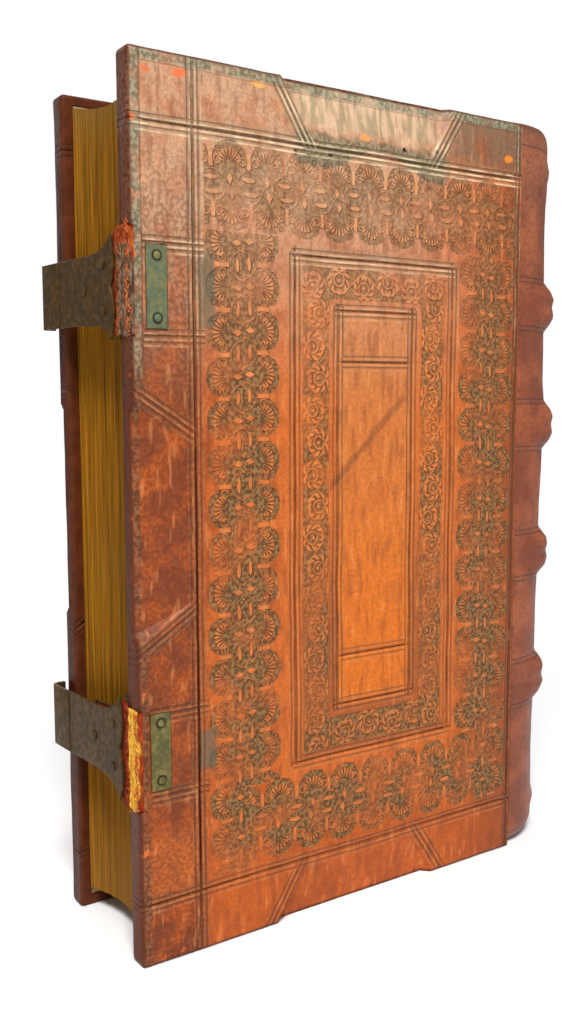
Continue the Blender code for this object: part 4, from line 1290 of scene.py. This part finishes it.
@dataclass
class Clasp:
    """One clasp: anchor plate, torn strap, fishtail plate with its hook, and rivets."""

    label: str
    middle_z: float
    strap: TornStrap
    anchor: OldBrass
    seed: int
    plate_z: float
    tail_half: float
    strap_half: float = 18.5
    fibre_count: int = 150
    neck_half: float = 12.1
    neck_y: float = 29.0
    tail_y: float = 12.2
    lobe: float = 2.1
    hook_y: float = 52.0
    back_neck_y: float = 36.8
    front_faces_x: tuple[float, float] = (-1.9, -0.9)
    back_faces_x: tuple[float, float] = (1.5, 2.3)
    torn_depth_x: float = 0.9
    slide_y: tuple[float, float] = (9.6, 13.0)
    taper_y: tuple[float, float] = (6.5, 12.2)
    cover_margin: float = 0.8
    fibre_roots_y: tuple[float, ...] = (0.8, 1.6, 7.8)
    pivot: tuple[float, float] = (-0.6, 6.0)
    stand_off: float = math.radians(3.5)

    def body(self) -> str:
        """Return the body that the free part rides on."""
        return f"{self.label}_clasp"

    def build(self, clasp_brass: bpy.types.Material, fibre: bpy.types.Material) -> None:
        """Build the clasp.

        Args:
            clasp_brass: Finish of the fishtail plates and rivets.
            fibre: Finish of the loose fibres.
        """
        torn = self.strap.material()
        self.torn_strap("strap_anchor", "back_cover", torn)
        self.torn_strap("strap", self.body(), torn)
        self.fibres(fibre)
        across, along = skin_creep(7.0, self.middle_z)
        anchor_brass = self.anchor.material()
        for part in ("anchor_plate", "anchor_plate_lower_nail", "anchor_plate_upper_nail"):
            self.plate(part, "back_cover", anchor_brass, "plate_brass", (across, 0.0, along))
        self.fishtail("clasp", self.hook_y, self.front_faces_x, clasp_brass)
        self.fishtail("clasp_back", self.back_neck_y, self.back_faces_x, clasp_brass)
        rise = self.plate_z - self.middle_z
        for part, low_y, high_y, spread in (
            ("neck_rivet", 30.0, 31.2, 0.0),
            ("upper_rivet", 22.5, 17.2, -1.4),
            ("lower_rivet", 22.5, 17.2, 1.4),
        ):
            start, end = self.swung(0.0, low_y, 0.0), self.swung(0.0, high_y, rise + spread)
            self.plate(part, self.body(), clasp_brass, "clasp_brass", tuple(end - start))
        for part in ("catch_plate", "catch_plate_lower_nail", "catch_plate_upper_nail"):
            self.plate(part, "front_cover", clasp_brass, "plate_brass", (across, 0.0, along))

    def plate(
        self,
        part: str,
        body: str,
        material: bpy.types.Material,
        slot: str,
        shift: tuple[float, float, float],
    ) -> None:
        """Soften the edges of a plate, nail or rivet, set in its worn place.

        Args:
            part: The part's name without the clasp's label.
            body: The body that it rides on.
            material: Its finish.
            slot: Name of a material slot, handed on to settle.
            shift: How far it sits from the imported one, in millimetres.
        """
        node = f"{self.label}_{part}"
        piece = copy_node(node, f"{node}_worn")
        for vertex in piece.data.vertices:
            vertex.co += Vector(shift) * MM
        if part.endswith("plate"):
            soften(piece, 0.18)
        shade(piece, 40)
        settle(piece, body, material, slot, node)

    def swung(self, x: float, y: float, z: float) -> Vector:
        """Return where a place on the closed clasp lies while the clasp stands off, in millimetres."""
        across, along = x - self.pivot[0], y - self.pivot[1]
        sine, cosine = math.sin(self.stand_off), math.cos(self.stand_off)
        turned_x = self.pivot[0] + across * cosine - along * sine
        turned_y = self.pivot[1] + across * sine + along * cosine
        return Vector((turned_x, turned_y, z))

    def half_width(self, y: float) -> float:
        """Return the fishtail's half width at a distance from the back cover's face."""
        share = ramp(y, self.neck_y, self.tail_y)
        return self.neck_half + (self.tail_half - self.neck_half) * (1 - math.sqrt(1 - share**2))

    def outline(self, neck_end: float) -> list[tuple[float, float]]:
        """Return a fishtail's outline in y and z: neck, flared side, two lobes, other side."""
        steps = 14
        flare = [self.neck_y + (self.tail_y - self.neck_y) * step / steps for step in range(steps + 1)]
        side = [(neck_end, self.neck_half)] + [(y, self.half_width(y)) for y in flare]
        lobes = []
        for step in range(1, 2 * steps):
            z = self.tail_half * (1 - step / steps)
            lobes.append((self.tail_y - self.lobe * math.sin(math.pi * abs(z) / self.tail_half), z))
        return side + lobes + [(y, -z) for y, z in reversed(side)]

    def fishtail(
        self, part: str, neck_end: float, faces_x: tuple[float, float], material: bpy.types.Material
    ) -> None:
        """Model a fishtail plate in its worn shape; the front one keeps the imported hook.

        Args:
            part: The plate's name without the clasp's label.
            neck_end: Where the neck ends.
            faces_x: Where its outer and inner faces lie on the closed clasp.
            material: Its finish.
        """
        node = f"{self.label}_{part}"
        outline = self.outline(neck_end)
        count = len(outline)
        corners = [
            CORNER + self.swung(face_x, y, self.plate_z + z) * MM for face_x in faces_x for y, z in outline
        ]
        faces = [tuple(range(count)), tuple(range(2 * count - 1, count - 1, -1))]
        faces += [(i, i + count, (i + 1) % count + count, (i + 1) % count) for i in range(count)]
        mesh = bpy.data.meshes.new(f"{node}_worn")
        mesh.from_pydata(corners, [], faces)
        piece = add_piece(mesh)
        face_outward(piece)
        soften(piece, 0.2)
        slice_piece(piece, 1, self.tail_y - 1.0, neck_end - 1.0, 2.0)
        slice_piece(piece, 2, self.plate_z - self.tail_half + 1.0, self.plate_z + self.tail_half - 1.0, 2.0)
        roughen(piece, 9.0, 0.3)
        if part == "clasp":
            hook = self.hook(node)
            take_up(piece)
            hook.select_set(True)
            bpy.ops.object.join()
        shade(piece, 40)
        settle(piece, self.body(), material, "clasp_brass", node)

    def hook(self, node: str) -> bpy.types.Object:
        """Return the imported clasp's hook end, cut off and raised to the worn plate's height."""
        hook = copy_node(node, f"{node}_hook")
        bpy.ops.object.mode_set(mode="EDIT")
        bpy.ops.mesh.select_all(action="SELECT")
        cut = CORNER + self.swung(0.0, self.hook_y, 0.0) * MM
        bpy.ops.mesh.bisect(plane_co=cut, plane_no=(0.0, 1.0, 0.0), use_fill=True, clear_inner=True)
        bpy.ops.object.mode_set(mode="OBJECT")
        for vertex in hook.data.vertices:
            vertex.co.z += (self.plate_z - self.middle_z) * MM
        soften(hook, 0.18)
        return hook

    def torn_strap(self, part: str, body: str, material: bpy.types.Material) -> None:
        """Roughen a strap's torn leather."""
        node = f"{self.label}_{part}"
        piece = copy_node(node, f"{node}_torn")
        low_z = self.middle_z - self.strap_half
        slice_piece(piece, 2, low_z + 0.7, low_z + 2 * self.strap_half - 0.7, 0.8)
        slice_piece(piece, 1, 2.0, 32.0, 0.8)
        if part == "strap":
            self.trim(piece)
        group = piece.vertex_groups.new(name="torn")
        chosen = [v.index for v in piece.data.vertices if (v.co.x - CORNER.x) / MM < self.torn_depth_x]
        group.add(chosen, 1.0, "REPLACE")
        roughen(piece, 2.4, 1.5, "torn")
        shade(piece, 50)
        settle(piece, body, material, "strap_leather", node)

    def trim(self, piece: bpy.types.Object) -> None:
        """Narrow the free strap so that it runs out of sight under the fishtail."""
        for vertex in piece.data.vertices:
            place = (vertex.co - CORNER) / MM
            middle = self.middle_z + (self.plate_z - self.middle_z) * ramp(place.y, *self.slide_y)
            covered = self.half_width(place.y) - self.cover_margin
            half = self.strap_half + (covered - self.strap_half) * ramp(place.y, *self.taper_y)
            spread = (place.z - self.middle_z) * half / self.strap_half
            vertex.co.z = CORNER.z + (middle + spread) * MM

    def fibres(self, material: bpy.types.Material) -> None:
        """Lay loose fibres over the torn edges of the strap."""
        chance = random.Random(self.seed)
        corners: list[Vector] = []
        faces: list[tuple[int, ...]] = []
        for _ in range(self.fibre_count):
            root = Vector((-0.5, chance.choice(self.fibre_roots_y), self.middle_z))
            root += Vector((0.0, chance.uniform(-1.4, 1.4), chance.uniform(-19.2, 19.0)))
            lean = Vector((-0.6 - chance.random(), chance.uniform(-0.8, 0.8), chance.uniform(-2.4, 2.4)))
            thick = chance.uniform(0.12, 0.3)
            start = len(corners)
            for step, width in ((0.0, 1.0), (0.5, 0.8), (1.0, 0.25)):
                bend = Vector((0.35 * step * step, 0.0, 0.5 * step * step))
                middle = root + lean * step + bend
                for turn in range(3):
                    spoke = turn * math.tau / 3
                    ring = Vector((math.cos(spoke), math.sin(spoke), 0.0)) * thick * width
                    corners.append(CORNER + (middle + ring) * MM)
            for level in (0, 3):
                for turn in range(3):
                    after = (turn + 1) % 3
                    low = start + level
                    faces.append((low + turn, low + after, low + 3 + after, low + 3 + turn))
            faces.append((start + 6, start + 7, start + 8))
            faces.append((start + 2, start + 1, start))
        mesh = bpy.data.meshes.new(f"{self.label}_strap_fibres")
        mesh.from_pydata(corners, [], faces)
        piece = add_piece(mesh)
        shade(piece, 60)
        settle(piece, "back_cover", material, "strap_leather")


@dataclass
class Studio:
    """A pale floor, soft lamps and the camera at the photograph's place."""

    camera_place: tuple[float, float, float] = (-0.26407, -0.35578, 0.204895)
    azimuth: float = -34.1517
    elevation: float = 6.2656
    roll: float = -0.1512
    lens: float = 36.62
    shift: tuple[float, float] = (0.0032, -0.0011)

    def build(self) -> None:
        """Set up the stage."""
        self.camera()
        self.floor()
        self.lamps()
        self.world()
        bpy.context.scene.view_settings.view_transform = "Standard"

    def camera(self) -> None:
        """Place the camera."""
        azimuth, elevation, roll = (math.radians(a) for a in (self.azimuth, self.elevation, self.roll))
        level = math.cos(elevation)
        back = Vector((math.sin(azimuth) * level, -math.cos(azimuth) * level, math.sin(elevation)))
        right = (-back).cross(Vector((0.0, 0.0, 1.0))).normalized()
        upward = right.cross(-back)
        turned_right = right * math.cos(roll) + upward * math.sin(roll)
        turned_up = upward * math.cos(roll) - right * math.sin(roll)
        data = bpy.data.cameras.new("photo_camera")
        data.lens = self.lens
        data.sensor_width = 36.0
        data.shift_x = self.shift[0]
        data.shift_y = self.shift[1]
        data.clip_start = 0.01
        camera = bpy.data.objects.new("photo_camera", data)
        bpy.context.scene.collection.objects.link(camera)
        turn = Matrix((turned_right, turned_up, back)).transposed().to_4x4()
        camera.matrix_world = Matrix.Translation(self.camera_place) @ turn
        bpy.context.scene.camera = camera

    def floor(self) -> None:
        """Lay the floor: pale near the book, and as white as the backdrop further off."""
        bpy.ops.mesh.primitive_circle_add(vertices=96, radius=3.0, fill_type="NGON")
        piece = bpy.context.active_object
        piece.name = "floor"
        p = Painter("pale_floor", roughness=0.6)
        reach = p.length(p.x - 109.0, p.y - 33.0)
        mottle = p.noise(60, 2)
        greys = {0: mottle, 6: (0.90, 0.90, 0.90, 1.0), 7: (0.93, 0.93, 0.93, 1.0)}
        p.colour = p.node("ShaderNodeMix", {"data_type": "RGBA"}, greys, 2)
        p.finish(mottle, 0.05 * MM)
        white = p.node("ShaderNodeEmission", {}, {"Color": (1.0, 1.0, 1.0, 1.0), "Strength": 1.0})
        seen = p.node("ShaderNodeLightPath", {}, {}, "Is Camera Ray")
        share = p.rise(reach, 150, 420) * seen
        surface = Value(p, p.shader.outputs[0])
        mixed = p.node("ShaderNodeMixShader", {}, {0: share, 1: surface, 2: white})
        p.tree.links.new(mixed.socket, p.tree.nodes["Material Output"].inputs["Surface"])
        piece.data.materials.append(p.material)

    def lamp(self, name: str, place: tuple, power: float, size: float) -> None:
        """Add one soft square lamp aimed at the middle of the book."""
        data = bpy.data.lights.new(name, "AREA")
        data.energy = power
        data.size = size
        lamp = bpy.data.objects.new(name, data)
        bpy.context.scene.collection.objects.link(lamp)
        lamp.location = place
        aim = Vector((0.0, 0.0, 0.16)) - Vector(place)
        lamp.rotation_euler = aim.to_track_quat("-Z", "Y").to_euler()

    def lamps(self) -> None:
        """Hang the key lamp high on the left, and a weak fill on the right."""
        self.lamp("key_lamp", (-0.55, -0.85, 1.5), 36.0, 0.5)
        self.lamp("fill_lamp", (1.3, -0.9, 0.7), 3.0, 1.2)
        self.lamp("back_lamp", (0.2, 1.5, 1.0), 8.0, 1.2)

    def world(self) -> None:
        """Light the room evenly, and show white behind the book."""
        world = bpy.data.worlds.new("studio_room")
        bpy.context.scene.world = world
        world.use_nodes = True
        tree = world.node_tree
        background = tree.nodes["Background"]
        background.inputs["Color"].default_value = (1.0, 1.0, 1.0, 1.0)
        path = tree.nodes.new("ShaderNodeLightPath")
        strength = tree.nodes.new("ShaderNodeMapRange")
        strength.inputs["To Min"].default_value = 0.28
        strength.inputs["To Max"].default_value = 1.0
        tree.links.new(path.outputs["Is Camera Ray"], strength.inputs["Value"])
        tree.links.new(strength.outputs["Result"], background.inputs["Strength"])


def main() -> None:
    """Build the studio and every part of the book."""
    logging.basicConfig(level=logging.INFO, format="%(message)s")
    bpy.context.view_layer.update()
    Studio().build()
    leather = TooledCalf().material()
    thread = CordThread().material()
    wood = BoardWood().material()
    paper = PastedPaper().material()
    Cover("back", 0.0, 1.0).build(leather, wood, paper)
    Cover("front", THICKNESS, -1.0, head=316.9).build(leather, wood, paper)
    Spine().build(SpineCalf().material(), thread)
    Leaves().build(LeafEdges().material())
    clasp_brass = OldBrass("clasp_brass", (88, 62, 26), (62, 43, 16), (48, 40, 20), metal=0.15).material()
    Clasp(
        "upper",
        244.0,
        TornStrap(
            StrapLook.SKIN,
            (1.4, 9.2),
            (132, 104, 80),
            (66, 48, 36),
            (232, 112, 34),
            (170, 58, 14),
            256.5,
        ),
        OldBrass(
            "upper_anchor_brass",
            (122, 116, 70),
            (92, 104, 82),
            (86, 78, 46),
            0.6,
            ((9.6, 231.5), (9.6, 252.5)),
            0.2,
        ),
        11,
        242.4,
        18.0,
    ).build(clasp_brass, StrapFibre("orange_fibre", (226, 120, 50), (160, 62, 22)).material())
    Clasp(
        "lower",
        76.5,
        TornStrap(
            StrapLook.LINING,
            (1.8, 7.4),
            (246, 196, 76),
            (214, 148, 40),
            (206, 78, 20),
            (136, 36, 8),
            95.5,
        ),
        OldBrass(
            "lower_anchor_brass",
            (122, 112, 64),
            (92, 86, 48),
            (78, 80, 52),
            0.4,
            ((8.4, 69.0), (8.4, 90.0)),
            0.2,
        ),
        12,
        79.3,
        19.5,
    ).build(clasp_brass, StrapFibre("red_fibre", (214, 92, 34), (150, 46, 14)).material())


if __name__ == "__main__":
    main()
